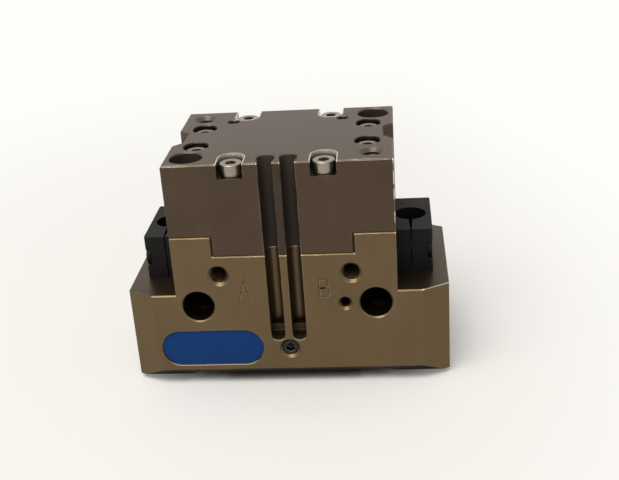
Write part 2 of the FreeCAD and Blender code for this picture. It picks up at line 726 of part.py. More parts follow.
def break_housing_edges(body):
    """Small bevels where the machined housing shows a bright edge."""
    def machined(edge):
        on_face = along(edge, "Y", -front) or along(edge, "Y", front)
        level = along(edge, "Z", shoulder) or along(edge, "Z", seat_floor)
        side = along(edge, "X", neck_side) or along(edge, "X", -neck_side)
        seat = along(edge, "X", S.seat_width / 2) or along(edge, "X", -S.seat_width / 2)
        ear = along(edge, "Z", ear_top) and (on_face or side)
        return is_straight(edge) and (on_face and (level or seat) or ear)
    chamfer(body, S.edge_break, machined)

    def bore_mouth(edge):
        on_face = along(edge, "Y", -front) or along(edge, "Y", front)
        return on_face and is_round(edge, S.side_bore_radius)
    chamfer(body, S.edge_break, bore_mouth)

    def threaded_mouth(edge):
        radii = (S.port_core, S.purge_core, S.plug_radius + S.thread_gap)
        return along(edge, "Y", -front) and any(is_round(edge, radius) for radius in radii)
    chamfer(body, S.mouth_break, threaded_mouth)


def make_spring_housing():
    """Spring housing: block on the ears with a tongue in the seat and two spring pockets."""
    body = new_body("spring_housing")
    block = new_sketch(body, "XY_Plane", ear_top)
    notched_outline(block, neck_side)
    pad(body, block, S.block_height)
    chamfer(body, S.edge_break, lambda edge: along(edge, "Z", top))

    tongue = new_sketch(body, "XY_Plane", seat_floor)
    half = S.seat_width / 2 - S.seat_gap
    rectangle(tongue, -half, -front, half, front)
    pad(body, tongue, S.seat_depth)

    def seam(edge):
        on_face = along(edge, "Y", -front) or along(edge, "Y", front)
        level = along(edge, "Z", ear_top) or along(edge, "Z", seat_floor)
        return on_face and (level or along(edge, "X", half) or along(edge, "X", -half))
    chamfer(body, S.edge_break, seam)

    notches = new_sketch(body, "XY_Plane", top)
    head_bore = S.screw_head_radius + S.head_room
    reach = (S.edge_notch_inset + S.overcut) / 2
    for sx in SIDES:
        for sy in SIDES:
            middle = sy * (front - S.edge_notch_inset + reach)
            stadium(notches, sx * edge_screw_x, middle, reach, head_bore, upright=True)
    pocket(body, notches, S.edge_screw_sink)

    sinks = new_sketch(body, "XY_Plane", top)
    for x, y in four_ways(corner_screw_x, corner_screw_y):
        circle(sinks, x, y, head_bore)
    pocket(body, sinks, S.corner_screw_sink)

    shanks = new_sketch(body, "XY_Plane", top)
    for x, y in four_ways(edge_screw_x, edge_screw_y):
        circle(shanks, x, y, S.screw_clear)
    for x, y in four_ways(corner_screw_x, corner_screw_y):
        circle(shanks, x, y, S.screw_clear)
    for x, y in four_ways(bolt_x, bolt_y):
        circle(shanks, x, y, S.bolt_core)
    pocket(body, shanks, top - seat_floor)

    centring = new_sketch(body, "XY_Plane", top)
    for side in SIDES:
        circle(centring, side * bolt_x, side * bolt_y, S.centring_radius)
    pocket(body, centring, S.centring_depth)

    plugs = new_sketch(body, "XY_Plane", top)
    channels = new_sketch(body, "XY_Plane", top)
    for side in SIDES:
        circle(plugs, side * S.direct_place, direct_y, S.screw_radius + S.thread_gap)
        circle(channels, side * S.direct_place, direct_y, S.direct_channel)
    pocket(body, plugs, S.direct_plug_sink + S.direct_plug_length)
    pocket(body, channels, top - seat_floor)

    def threaded(edge):
        return along(edge, "Z", top) and is_round(edge, S.bolt_core)

    def plain_mouth(edge):
        sunk = is_round(edge, S.bolt_core + S.bolt_mouth_break)
        return along(edge, "Z", top) and edge.isClosed() and not sunk
    chamfer(body, S.bolt_mouth_break, threaded)
    chamfer(body, S.edge_break, plain_mouth)

    springs = new_sketch(body, "XY_Plane", seat_floor)
    for side in SIDES:
        circle(springs, side * spring_x, 0, spring_radius + S.spring_seat_gap)
    pocket(body, springs, spring_roof - seat_floor, flip=True)
    cut_sensor_slots(body, top, seat_floor - S.slot_mouth, seat_floor)
    return body


def make_base_jaw(label, side, cam_place):
    """Base jaw: toothed slide with a slanted T-slot inside and a finger face below."""
    body = new_body(label)
    section = new_sketch(body, "YZ_Plane", side * S.jaw_inner)
    guide_outline(section, S.jaw_width / 2, 0, S.jaw_height)
    pad(body, section, jaw_outer - S.jaw_inner, flip=side < 0)

    slant = new_sketch(body, "XZ_Plane", 0)
    inside = S.jaw_inner - S.overcut
    crest = S.hook_bottom + (S.hook_foot + S.rail_gap - inside) / slope
    foot = wedge_flank(-S.overcut) + S.rail_gap
    polygon(slant, [(side * foot, -S.overcut), (side * inside, crest), (side * inside, -S.overcut)])
    pocket(body, slant, S.jaw_width + S.overcut, both_ways=True)

    low = S.hook_bottom - S.hook_gap
    high = S.jaw_height + S.overcut
    far = rail_reach + S.rail_gap
    near = S.rail_neck - S.rail_gap
    for width, inner in ((S.rail_neck_width, -S.overcut), (S.rail_head_width, near)):
        slot = new_sketch(body, "XZ_Plane", 0)
        flank = [(wedge_flank(low) + far, low), (wedge_flank(high) + far, high),
                 (wedge_flank(high) + inner, high), (wedge_flank(low) + inner, low)]
        polygon(slot, [(side * x, y) for x, y in flank])
        pocket(body, slot, width + 2 * S.rail_gap, both_ways=True)

    threads = new_sketch(body, "XY_Plane", 0)
    sleeves = new_sketch(body, "XY_Plane", 0)
    for x in (finger_hole_x - S.finger_hole_pitch, finger_hole_x):
        circle(threads, side * x, 0, S.finger_core)
        circle(sleeves, side * x, 0, S.sleeve_bore)
    pocket(body, threads, S.finger_thread_depth, flip=True)
    pocket(body, sleeves, S.sleeve_depth, flip=True)

    slot = new_sketch(body, "XY_Plane", S.jaw_height)
    half = S.cam_width / 2 + S.cam_gap
    rectangle(slot, side * cam_slot_start, -half, side * (jaw_outer + S.overcut), half)
    pocket(body, slot, S.jaw_height - cam_floor)

    thread = new_sketch(body, "XY_Plane", cam_floor)
    circle(thread, side * cam_place, 0, S.cam_screw_radius + S.thread_gap)
    pocket(body, thread, cam_thread_depth())
    chamfer(body, S.edge_break, lambda edge: along(edge, "X", side * jaw_outer) and is_straight(edge)
            and (along(edge, "Z", 0) or along(edge, "Z", S.jaw_height)))
    return body


def cam_seat():
    """Level on which the head of the cam screw bears."""
    return cam_floor + S.cam_height - S.cam_head_height - S.cam_sink


def cam_thread_depth():
    return S.cam_screw_length - (cam_seat() - cam_floor) + S.seal_gap


def make_control_cam(label, side, cam_place):
    """Control cam: steel block in the jaw's slot that passes under the sensor bore."""
    body = new_body(label)
    block = new_sketch(body, "XY_Plane", cam_floor)
    left = side * cam_place - S.cam_length / 2
    rectangle(block, left, -S.cam_width / 2, left + S.cam_length, S.cam_width / 2)
    pad(body, block, S.cam_height)
    hole = new_sketch(body, "XY_Plane", cam_floor)
    circle(hole, side * cam_place, 0, S.cam_screw_radius + S.cam_gap)
    pocket(body, hole, S.cam_height, flip=True)
    sink = new_sketch(body, "XY_Plane", cam_seat())
    circle(sink, side * cam_place, 0, S.cam_head_radius + S.cam_gap)
    pocket(body, sink, S.cam_height, flip=True)
    return body


def make_wedge_hook():
    """Wedge hook: trapezoid with a slanted T-rail on each flank and a round shank."""
    body = new_body("wedge_hook")
    wedge = new_sketch(body, "XZ_Plane", 0)
    head = wedge_flank(hook_top)
    polygon(wedge, [(-S.hook_foot, S.hook_bottom), (S.hook_foot, S.hook_bottom),
                    (head, hook_top), (-head, hook_top)])
    pad(body, wedge, S.hook_width, both_ways=True)
    for width, near in ((S.rail_neck_width, 0), (S.rail_head_width, S.rail_neck)):
        for side in SIDES:
            rail = new_sketch(body, "XZ_Plane", 0)
            flank = [(wedge_flank(level) + shift, level)
                     for level, shift in ((S.hook_bottom, near), (S.hook_bottom, rail_reach),
                                          (hook_top, rail_reach), (hook_top, near))]
            polygon(rail, [(side * x, level) for x, level in flank])
            pad(body, rail, width, both_ways=True)
    shank = new_sketch(body, "XY_Plane", hook_top)
    circle(shank, 0, 0, S.shank_radius)
    pad(body, shank, piston_floor - hook_top)
    thread = new_sketch(body, "XY_Plane", piston_floor)
    circle(thread, 0, 0, S.piston_screw_radius + S.thread_gap)
    pocket(body, thread, S.piston_screw_length - (S.piston_height - S.piston_head_sink) + S.screw_room)
    return body


def make_piston():
    """Oval piston: two flanges with the ring groove between, spring seats and magnet pockets."""
    body = new_body("piston")
    flange = cylinder_radius - S.piston_gap
    groove_low = piston_floor + S.ring_rise
    groove_high = groove_low + S.ring_height
    for low, high, radius in ((piston_floor, groove_low, flange),
                              (groove_low, groove_high, flange - S.ring_depth),
                              (groove_high, piston_top, flange)):
        layer = new_sketch(body, "XY_Plane", low)
        stadium(layer, 0, 0, cylinder_reach, radius)
        pad(body, layer, high - low)

    seats = new_sketch(body, "XY_Plane", piston_top)
    for side in SIDES:
        circle(seats, side * spring_x, 0, spring_radius + S.spring_seat_gap)
    pocket(body, seats, S.spring_seat_depth)

    magnets = new_sketch(body, "XY_Plane", piston_top)
    for side in SIDES:
        circle(magnets, side * S.slot_place, magnet_y(), S.magnet_radius + S.thread_gap)
    pocket(body, magnets, S.magnet_height)

    sink = new_sketch(body, "XY_Plane", piston_top)
    circle(sink, 0, 0, S.piston_head_radius + S.cam_gap)
    pocket(body, sink, S.piston_head_sink)
    hole = new_sketch(body, "XY_Plane", piston_top)
    circle(hole, 0, 0, S.piston_screw_clear)
    pocket(body, hole, S.piston_height)
    return body


def magnet_y():
    return S.magnet_inset - cylinder_radius


def make_oval_ring(label, low, height, inner, outer):
    """Oval sealing ring with rounded edges."""
    body = new_body(label)
    ring = new_sketch(body, "XY_Plane", low)
    stadium(ring, 0, 0, cylinder_reach, outer)
    stadium(ring, 0, 0, cylinder_reach, inner)
    pad(body, ring, height)
    rim = height / 4
    fillet(body, rim, lambda edge: along(edge, "Z", low) or along(edge, "Z", low + height))
    return body


def make_piston_seal():
    flange = cylinder_radius - S.piston_gap
    low = piston_floor + S.ring_rise + S.seal_gap
    return make_oval_ring("piston_seal", low, S.ring_height - 2 * S.seal_gap,
                          flange - S.ring_depth + S.seal_gap, cylinder_radius - S.seal_gap)


def make_cylinder_seal():
    return make_oval_ring("cylinder_seal", seat_floor - S.gasket_depth, S.gasket_depth,
                          gasket_inner + S.seal_gap, gasket_outer - S.seal_gap)


def make_rod_seal():
    """Round ring in the partition, one clearance away from the shank."""
    ring = doc.addObject("Part::Torus", "rod_seal")
    ring.Label = "rod_seal"
    bind(ring, "Radius1", S.shank_radius + S.seal_gap + S.rod_ring)
    bind(ring, "Radius2", S.rod_ring)
    return place(ring, 0, 0, cylinder_floor - S.partition / 2)


def make_spring(label, side):
    """Compression spring with ground ends, between piston and spring housing."""
    length = spring_roof - spring_floor
    middle = spring_radius - S.spring_wire / 2
    x = side * spring_x
    coil = doc.addObject("Part::Helix", f"{label}_coil")
    bind(coil, "Radius", middle)
    bind(coil, "Height", length)
    bind(coil, "Pitch", length / S.spring_turns)
    place(coil, x, 0, spring_floor)
    wire = doc.addObject("Part::Circle", f"{label}_wire")
    bind(wire, "Radius", S.spring_wire / 2)
    place(wire, x + middle, 0, spring_floor, ALONG_Y)
    doc.recompute()
    sweep = doc.addObject("Part::Sweep", f"{label}_sweep")
    sweep.Sections = [wire]
    sweep.Spine = (coil, [f"Edge{index}" for index in range(1, len(coil.Shape.Edges) + 1)])
    sweep.Solid = True
    sweep.Frenet = True
    room = cylinder(f"{label}_room", spring_radius + S.overcut, length, x, 0, spring_floor)
    ground = doc.addObject("Part::Common", label)
    ground.Base = sweep
    ground.Tool = room
    ground.Label = label
    return ground


def cylinder(name, radius, height, x, y, z, rotation=None):
    item = doc.addObject("Part::Cylinder", name)
    bind(item, "Radius", radius)
    bind(item, "Height", height)
    return place(item, x, y, z, rotation)


def hexagon(name, flats, height, x, y, z, rotation=None):
    """Hexagonal cutter for a socket."""
    item = doc.addObject("Part::Prism", name)
    item.Polygon = 6
    bind(item, "Circumradius", flats * FLATS_TO_CORNERS)
    bind(item, "Height", height)
    return place(item, x, y, z, rotation)


def cut_of(name, base, tool):
    item = doc.addObject("Part::Cut", name)
    item.Base = base
    item.Tool = tool
    return item


def fuse_of(name, base, tool):
    item = doc.addObject("Part::Fuse", name)
    item.Base = base
    item.Tool = tool
    return item


def cap_screw(name, x, y, seat, sizes):
    """Upright cap screw with its head on `seat` and a hexagon socket."""
    head = cylinder(f"{name}_head", sizes.head_radius, sizes.head_height, x, y, seat)
    shank = cylinder(f"{name}_shank", sizes.radius, sizes.length, x, y, seat - sizes.length)
    blank = fuse_of(f"{name}_blank", head, shank)
    level = seat + sizes.head_height - S.socket_depth
    return cut_of(name, blank, hexagon(f"{name}_socket", sizes.flats, S.socket_depth, x, y, level))


def group(label, items):
    """One node that holds several separate solids."""
    whole = doc.addObject("Part::Compound", label)
    whole.Links = items
    whole.Label = label
    return whole


def m3_cap(length):
    return SimpleNamespace(radius=S.screw_radius, length=length, flats=S.screw_flats,
                           head_radius=S.screw_head_radius, head_height=S.screw_head_height)


def make_edge_screws():
    seat = top - S.edge_screw_sink
    sizes = m3_cap(seat - seat_floor + S.screw_grip)
    places = four_ways(edge_screw_x, edge_screw_y)
    return group("edge_screws", [cap_screw(f"edge_screw_{index}", x, y, seat, sizes)
                                 for index, (x, y) in enumerate(places, 1)])


def make_corner_screws():
    seat = top - S.corner_screw_sink
    sizes = m3_cap(seat - ear_top + S.screw_grip)
    places = four_ways(corner_screw_x, corner_screw_y)
    return group("corner_screws", [cap_screw(f"corner_screw_{index}", x, y, seat, sizes)
                                   for index, (x, y) in enumerate(places, 1)])


def make_piston_screw():
    sizes = SimpleNamespace(radius=S.piston_screw_radius, length=S.piston_screw_length,
                            flats=S.piston_screw_flats, head_radius=S.piston_head_radius,
                            head_height=S.piston_head_height)
    screw = cap_screw("piston_screw", 0, 0, piston_top - S.piston_head_sink, sizes)
    screw.Label = "piston_screw"
    return screw


def make_cam_screw(label, side, cam_place):
    x = side * cam_place
    head = cylinder(f"{label}_head", S.cam_head_radius, S.cam_head_height, x, 0, cam_seat())
    shank = cylinder(f"{label}_shank", S.cam_screw_radius, S.cam_screw_length,
                     x, 0, cam_seat() - S.cam_screw_length)
    blank = fuse_of(f"{label}_blank", head, shank)
    level = cam_seat() + S.cam_head_height - S.low_socket_depth
    socket = hexagon(f"{label}_socket", S.cam_screw_flats, S.low_socket_depth, x, 0, level)
    screw = cut_of(label, blank, socket)
    screw.Label = label
    return screw


def make_cover_screws():
    """Low-head screws, heads down, in the counterbores of the jaw cover."""
    seat = underside + S.cover_head_height
    items = []
    for index, (x, y) in enumerate(four_ways(cover_screw_x, cover_screw_y), 1):
        name = f"cover_screw_{index}"
        head = cylinder(f"{name}_head", S.cover_head_radius, S.cover_head_height, x, y, underside)
        shank = cylinder(f"{name}_shank", S.cover_screw_radius, S.cover_screw_length, x, y, seat)
        socket = hexagon(f"{name}_socket", S.cover_screw_flats, S.low_socket_depth, x, y, underside)
        items.append(cut_of(name, fuse_of(f"{name}_blank", head, shank), socket))
    return group("jaw_cover_screws", items)


def make_bracket_screws():
    """Flat-head clamp screws that pass through the brackets along X into the neck."""
    floor = bracket_outer - S.bracket_head_sink
    tip = neck_side - S.bracket_screw_grip
    items = []
    for side, name in zip(SIDES, ("clamp_screw_left", "clamp_screw_right")):
        head_x = floor if side > 0 else -floor - S.bracket_head_height
        shank_x = tip if side > 0 else -floor
        spot = (-bracket_screw_y, bracket_screw_z, ALONG_X)
        head = cylinder(f"{name}_head", S.screw_head_radius, S.bracket_head_height, head_x, *spot)
        shank = cylinder(f"{name}_shank", S.screw_radius, floor - tip, shank_x, *spot)
        face = floor + S.bracket_head_height
        socket_x = face - S.low_socket_depth if side > 0 else -face
        socket = hexagon(f"{name}_socket", S.bracket_screw_flats, S.low_socket_depth, socket_x, *spot)
        items.append(cut_of(name, fuse_of(f"{name}_blank", head, shank), socket))
    return group("bracket_screws", items)


def make_lube_plug():
    """Set screw below the front face, socket outwards."""
    start = S.plug_sink - front
    stem = cylinder("lube_stem", S.plug_radius, S.plug_length, 0, start, lube_z, ALONG_Y)
    socket = hexagon("lube_socket", S.plug_flats, S.socket_depth, 0, start, lube_z, ALONG_Y)
    plug = cut_of("lube_plug", stem, socket)
    plug.Label = "lube_plug"
    return plug


def make_direct_port_plugs():
    """Set screws below the top face, socket up."""
    level = top - S.direct_plug_sink
    items = []
    for side, name in zip(SIDES, ("direct_plug_left", "direct_plug_right")):
        spot = (side * S.direct_place, direct_y)
        stem = cylinder(f"{name}_stem", S.screw_radius, S.direct_plug_length,
                        *spot, level - S.direct_plug_length)
        socket = hexagon(f"{name}_socket", S.direct_plug_flats, S.socket_depth,
                         *spot, level - S.socket_depth)
        items.append(cut_of(name, stem, socket))
    return group("direct_port_plugs", items)


def make_piston_magnets():
    low = piston_top - S.magnet_height
    return group("piston_magnets",
                 [cylinder(name, S.magnet_radius, S.magnet_height, side * S.slot_place, magnet_y(), low)
                  for side, name in zip(SIDES, ("magnet_left", "magnet_right"))])


def make_name_plate():
    """Rounded plate that lies in its recess in the front face."""
    body = new_body("name_plate")
    outline = new_sketch(body, "XZ_Plane", front - S.plate_recess)
    stadium(outline, plate_x, plate_z, plate_reach, S.plate_height / 2 - S.plate_gap)
    pad(body, outline, S.plate_thickness)
    return body


def make_jaw_cover():
    """Cover plate flush in the underside, between the closed jaws."""
    body = new_body("jaw_cover")
    plate = new_sketch(body, "XY_Plane", underside)
    half_y = S.cover_depth / 2
    rectangle(plate, -cover_half, -half_y, cover_half, half_y)
    pad(body, plate, S.cover_thickness)
    sinks = new_sketch(body, "XY_Plane", underside)
    holes = new_sketch(body, "XY_Plane", underside)
    for x, y in four_ways(cover_screw_x, cover_screw_y):
        circle(sinks, x, y, S.cover_head_radius + S.cam_gap)
        circle(holes, x, y, S.cover_screw_radius + S.cam_gap)
    pocket(body, sinks, S.cover_head_height, flip=True)
    pocket(body, holes, S.cover_thickness, flip=True)
    return body


def make_sensor_bracket(label, side):
    """Slit plastic clamp on a shoulder, keyed into the side notch of the neck."""
    body = new_body(label)
    block = new_sketch(body, "XY_Plane", shoulder)
    half = S.bracket_depth / 2
    mouth = S.notch_width / 2 - S.tongue_gap
    floor_x = neck_side - S.notch_depth + S.tongue_gap
    floor = mouth - S.notch_depth + S.tongue_gap
    points = [(bracket_outer, -half), (bracket_outer, half), (neck_side, half), (neck_side, mouth),
              (floor_x, floor), (floor_x, -floor), (neck_side, -mouth), (neck_side, -half)]
    polygon(block, [(side * x, y) for x, y in points])
    pad(body, block, S.bracket_height)

    bore = new_sketch(body, "XY_Plane", shoulder)
    circle(bore, side * bracket_bore_x, 0, S.bracket_bore)
    pocket(body, bore, S.bracket_height, flip=True)

    slit = new_sketch(body, "XY_Plane", shoulder)
    wedge = [(S.bracket_slit / 2, -S.bracket_bore / 2), (S.bracket_slit_front / 2, -half),
             (S.bracket_slit_front / 2, -half - S.overcut)]
    wedge += [(-x, y) for x, y in reversed(wedge)]
    polygon(slit, [(side * bracket_bore_x + x, y) for x, y in wedge])
    pocket(body, slit, S.bracket_height, flip=True)

    outer = side * bracket_outer
    fillet(body, S.bracket_round, lambda edge: along(edge, "X", outer)
           and (along(edge, "Y", half) or along(edge, "Y", -half)))

    recess = new_sketch(body, "YZ_Plane", outer)
    circle(recess, -bracket_screw_y, bracket_screw_z, S.screw_head_radius + S.head_room)
    pocket(body, recess, S.bracket_head_sink, flip=side < 0)
    hole = new_sketch(body, "YZ_Plane", outer)
    circle(hole, -bracket_screw_y, bracket_screw_z, S.screw_clear)
    pocket(body, hole, bracket_outer - floor_x, flip=side < 0)
    return body


def checked(nodes):
    """Stop unless every object is up to date and every node is a sound solid."""
    doc.recompute()
    for item in doc.Objects:
        if "Invalid" in item.State or "Error" in item.State:
            raise RuntimeError(f"{item.Label}: {item.State}")
    for node in nodes:
        if node.Shape.isNull() or not node.Shape.isValid() or not node.Shape.Solids:
            raise RuntimeError(f"{node.Label}: no sound solid")
    return nodes


nodes = checked([
    make_housing(),
    make_spring_housing(),
    make_cylinder_seal(),
    make_rod_seal(),
    make_edge_screws(),
    make_corner_screws(),
    make_sensor_bracket("sensor_bracket_left", -1),
    make_sensor_bracket("sensor_bracket_right", 1),
    make_bracket_screws(),
    make_lube_plug(),
    make_direct_port_plugs(),
    make_name_plate(),
    make_jaw_cover(),
    make_cover_screws(),
    make_spring("spring_left", -1),
    make_spring("spring_right", 1),
    make_wedge_hook(),
    make_piston(),
    make_piston_screw(),
    make_piston_seal(),
    make_piston_magnets(),
    make_base_jaw("base_jaw_left", -1, cam_left),
    make_base_jaw("base_jaw_right", 1, cam_right),
    make_control_cam("control_cam_left", -1, cam_left),
    make_control_cam("control_cam_right", 1, cam_right),
    make_cam_screw("cam_screw_left", -1, cam_left),
    make_cam_screw("cam_screw_right", 1, cam_right),
])

os.makedirs("parts", exist_ok=True)
for node in nodes:
    node.Shape.exportStep(f"parts/{node.Label}.step")
    print(node.Label, len(node.Shape.Solids), round(node.Shape.Volume, 2))
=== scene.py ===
import bpy
import numpy as np
from mathutils import Matrix, Vector


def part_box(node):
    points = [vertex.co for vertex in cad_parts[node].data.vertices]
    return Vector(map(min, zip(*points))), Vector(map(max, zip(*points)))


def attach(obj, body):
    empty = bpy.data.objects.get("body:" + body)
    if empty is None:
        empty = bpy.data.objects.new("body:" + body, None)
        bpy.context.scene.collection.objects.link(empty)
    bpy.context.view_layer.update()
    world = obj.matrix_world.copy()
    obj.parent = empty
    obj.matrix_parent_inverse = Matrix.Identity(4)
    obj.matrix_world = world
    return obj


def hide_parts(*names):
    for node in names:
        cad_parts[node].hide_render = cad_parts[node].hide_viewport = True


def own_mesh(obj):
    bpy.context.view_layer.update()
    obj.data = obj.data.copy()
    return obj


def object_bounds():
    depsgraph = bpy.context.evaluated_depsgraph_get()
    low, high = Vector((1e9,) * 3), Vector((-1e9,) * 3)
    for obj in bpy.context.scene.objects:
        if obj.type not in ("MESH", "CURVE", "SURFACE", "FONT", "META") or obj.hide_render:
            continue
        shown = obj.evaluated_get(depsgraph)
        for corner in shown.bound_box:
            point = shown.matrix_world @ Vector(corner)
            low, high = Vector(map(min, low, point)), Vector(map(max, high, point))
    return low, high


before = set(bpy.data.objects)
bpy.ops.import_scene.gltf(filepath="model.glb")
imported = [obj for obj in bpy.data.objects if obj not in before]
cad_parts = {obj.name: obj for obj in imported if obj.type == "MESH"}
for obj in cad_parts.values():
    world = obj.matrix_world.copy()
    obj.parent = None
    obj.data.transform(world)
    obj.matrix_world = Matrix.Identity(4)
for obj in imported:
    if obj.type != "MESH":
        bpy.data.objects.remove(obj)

cad_box = [list(corner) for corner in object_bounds()]

# Camera: at the photograph's height and angle, a little to the right of the middle and slightly
# rolled. The place is in metres and the three axes were found from the edges of the housing.
PHOTO_WIDTH = 619
FOCAL_PIXELS = 1029.1
SENSOR_WIDTH = 36.0
NEAR_CLIP = 0.01
camera_place = Vector((0.028561, -0.245410, 0.138365))
camera_right = Vector((0.995628, 0.068780, -0.063204))
camera_up = Vector((0.029855, 0.406834, 0.913014))
camera_back = Vector((0.088511, -0.910909, 0.403002))
lens = bpy.data.cameras.new("camera")
lens.sensor_width = SENSOR_WIDTH
lens.sensor_fit = "HORIZONTAL"
lens.lens = FOCAL_PIXELS * SENSOR_WIDTH / PHOTO_WIDTH
lens.clip_start = NEAR_CLIP
camera = bpy.data.objects.new("camera", lens)
turn = Matrix((camera_right, camera_up, camera_back)).transposed().to_4x4()
camera.matrix_world = Matrix.Translation(camera_place) @ turn
scene = bpy.context.scene
scene.collection.objects.link(camera)
scene.camera = camera
scene.view_settings.view_transform = "Standard"

# Table: a plain white sheet that keeps the object's shadow and fades to white paper further out, with a
# painted contact shadow close round the object. Its material is the first one made, so the two classes
# that write shader nodes as arithmetic stand here.
class Wire:
    """A node output that takes part in Python arithmetic; each operation adds a Math node."""

    def __init__(self, finish, socket):
        self.finish = finish
        self.socket = socket

    def math(self, operation, first, second=0.0):
        """Math node on one value or two."""
        return self.finish.node("ShaderNodeMath", {"operation": operation}, {0: first, 1: second})

    def __add__(self, other):
        return self.math("ADD", self, other)

    def __sub__(self, other):
        return self.math("SUBTRACT", self, other)

    def __rsub__(self, other):
        return self.math("SUBTRACT", other, self)

    def __mul__(self, other):
        return self.math("MULTIPLY", self, other)

    def __abs__(self):
        return self.math("ABSOLUTE", self)

    __radd__ = __add__
    __rmul__ = __mul__


class Finish:
    """A material in the making: node() adds any node, dress() feeds the Principled shader."""

    def __init__(self, name):
        self.material = bpy.data.materials.new(name)
        self.material.use_nodes = True
        self.tree = self.material.node_tree
        self.shader = self.tree.nodes["Principled BSDF"]

    def feed(self, socket, value):
        """Link a wire to the socket, or set the socket's value."""
        if isinstance(value, Wire):
            self.tree.links.new(value.socket, socket)
        else:
            socket.default_value = value

    def node(self, kind, settings=None, sockets=None, output=0):
        """Add a node: its settings first, then the values or links of its sockets."""
        made = self.tree.nodes.new(kind)
        for key, value in (settings or {}).items():
            setattr(made, key, value)
        for key, value in (sockets or {}).items():
            self.feed(made.inputs[key], value)
        return Wire(self, made.outputs[output])

    def noise(self, scale, detail=2.0, roughness=0.5):
        """Cloudy noise from 0 to 1 on Object coordinates; three factors as scale give it a grain."""
        factors = scale if isinstance(scale, tuple) else (scale, scale, scale)
        source = self.node("ShaderNodeTexCoord", output="Object")
        stretched = self.node("ShaderNodeMapping", None, {"Vector": source, "Scale": factors})
        sockets = {"Vector": stretched, "Scale": 1.0, "Detail": detail, "Roughness": roughness}
        return self.node("ShaderNodeTexNoise", None, sockets)

    def axes(self):
        """X, Y and Z of the Object coordinates, in metres."""
        source = self.node("ShaderNodeTexCoord", output="Object")
        parts = self.node("ShaderNodeSeparateXYZ", None, {0: source}).socket.node.outputs
        return [Wire(self, part) for part in parts]

    def ease(self, value, low, high):
        """0 below low, 1 above high, smooth between."""
        sockets = {"Value": value, "From Min": low, "From Max": high}
        return self.node("ShaderNodeMapRange", {"interpolation_type": "SMOOTHSTEP"}, sockets)

    def mix(self, share, first, second):
        """Colour between first and second."""
        return self.node("ShaderNodeMix", {"data_type": "RGBA"}, {0: share, 6: first, 7: second}, output=2)

    def edges(self, radius, low, high):
        """1 on edges and corners, where the normal softened over `radius` leaves the true one."""
        soft = self.node("ShaderNodeBevel", {"samples": 8}, {"Radius": radius})
        true = self.node("ShaderNodeNewGeometry", output="Normal")
        sockets = {0: soft, 1: true}
        agree = self.node("ShaderNodeVectorMath", {"operation": "DOT_PRODUCT"}, sockets, output="Value")
        return self.ease(1 - agree, low, high)

    def upward(self, low, high):
        """0 on upright faces and below, 1 on faces that look up."""
        true = self.node("ShaderNodeNewGeometry", output="Normal")
        return self.ease(self.node("ShaderNodeSeparateXYZ", None, {0: true}, output="Z"), low, high)

    def depths(self, distance, low, high):
        """1 deep inside holes, slots and corners of the piece, 0 on its open faces."""
        settings = {"samples": 12, "only_local": True}
        openness = self.node("ShaderNodeAmbientOcclusion", settings, {"Distance": distance}, output="AO")
        return 1 - self.ease(openness, low, high)

    def bump(self, height, strength, distance):
        """Normal roughened by a height from 0 to 1 that stands for `distance` metres."""
        sockets = {"Height": height, "Strength": strength, "Distance": distance}
        return self.node("ShaderNodeBump", None, sockets)

    def dress(self, sockets):
        """Feed the sockets of the Principled shader and hand over the material."""
        for key, value in sockets.items():
            self.feed(self.shader.inputs[key], value)
        return self.material


TABLE_HALF = 1.6
TABLE_LEVEL = -0.0002
SHEET_DULL = (0.93, 0.92, 0.90, 1)
SHEET_CLEAN = (0.96, 0.95, 0.93, 1)
CONTACT_SHADE = (0.26, 0.235, 0.22, 1)
CONTACT_REACH = 0.008
PAPER_WHITE = (1.0, 0.985, 0.945, 1)
NEAR_FADE = (0.024, 0.05)
FAR_FADE = (0.05, 0.30)
RIGHT_START = 0.03
RIGHT_PULL = 1.8
table_signs = ((-1, -1), (1, -1), (1, 1), (-1, 1))
table_corners = [(sx * TABLE_HALF, sy * TABLE_HALF, TABLE_LEVEL) for sx, sy in table_signs]
table_mesh = bpy.data.meshes.new("table")
table_mesh.from_pydata(table_corners, [], [(0, 1, 2, 3)])
table = bpy.data.objects.new("table", table_mesh)
scene.collection.objects.link(table)
white_sheet = Finish("white_sheet")
sheet_colour = white_sheet.mix(white_sheet.noise(4.0), SHEET_DULL, SHEET_CLEAN)
# Painted contact shadow: the sheet's colour darkens towards CONTACT_SHADE where the object stands close over
# it.
openness = white_sheet.node("ShaderNodeAmbientOcclusion", {"samples": 12}, {"Distance": CONTACT_REACH},
                            output="AO")
contact = 1 - white_sheet.ease(openness, 0.05, 0.5)
white_sheet.dress({"Base Color": white_sheet.mix(contact, sheet_colour, CONTACT_SHADE), "Roughness": 0.6})
spot = white_sheet.node("ShaderNodeTexCoord", output="Object")
away = white_sheet.node("ShaderNodeVectorMath", {"operation": "LENGTH"}, {0: spot}, output="Value")
right = white_sheet.node("ShaderNodeSeparateXYZ", None, {0: spot})
reach = away + RIGHT_PULL * away.math("MAXIMUM", right - RIGHT_START, 0.0)
fade = 0.3 * white_sheet.ease(away, *NEAR_FADE) + 0.7 * white_sheet.ease(reach, *FAR_FADE)
seen = white_sheet.node("ShaderNodeLightPath", output="Is Camera Ray")
lit = Wire(white_sheet, white_sheet.shader.outputs[0])
paper = white_sheet.node("ShaderNodeEmission", None, {"Color": PAPER_WHITE, "Strength": 1.0})
faded = white_sheet.node("ShaderNodeMixShader", None, {0: seen * fade, 1: lit, 2: paper})
white_sheet.feed(white_sheet.tree.nodes["Material Output"].inputs["Surface"], faded)
table_mesh.materials.append(white_sheet.material)

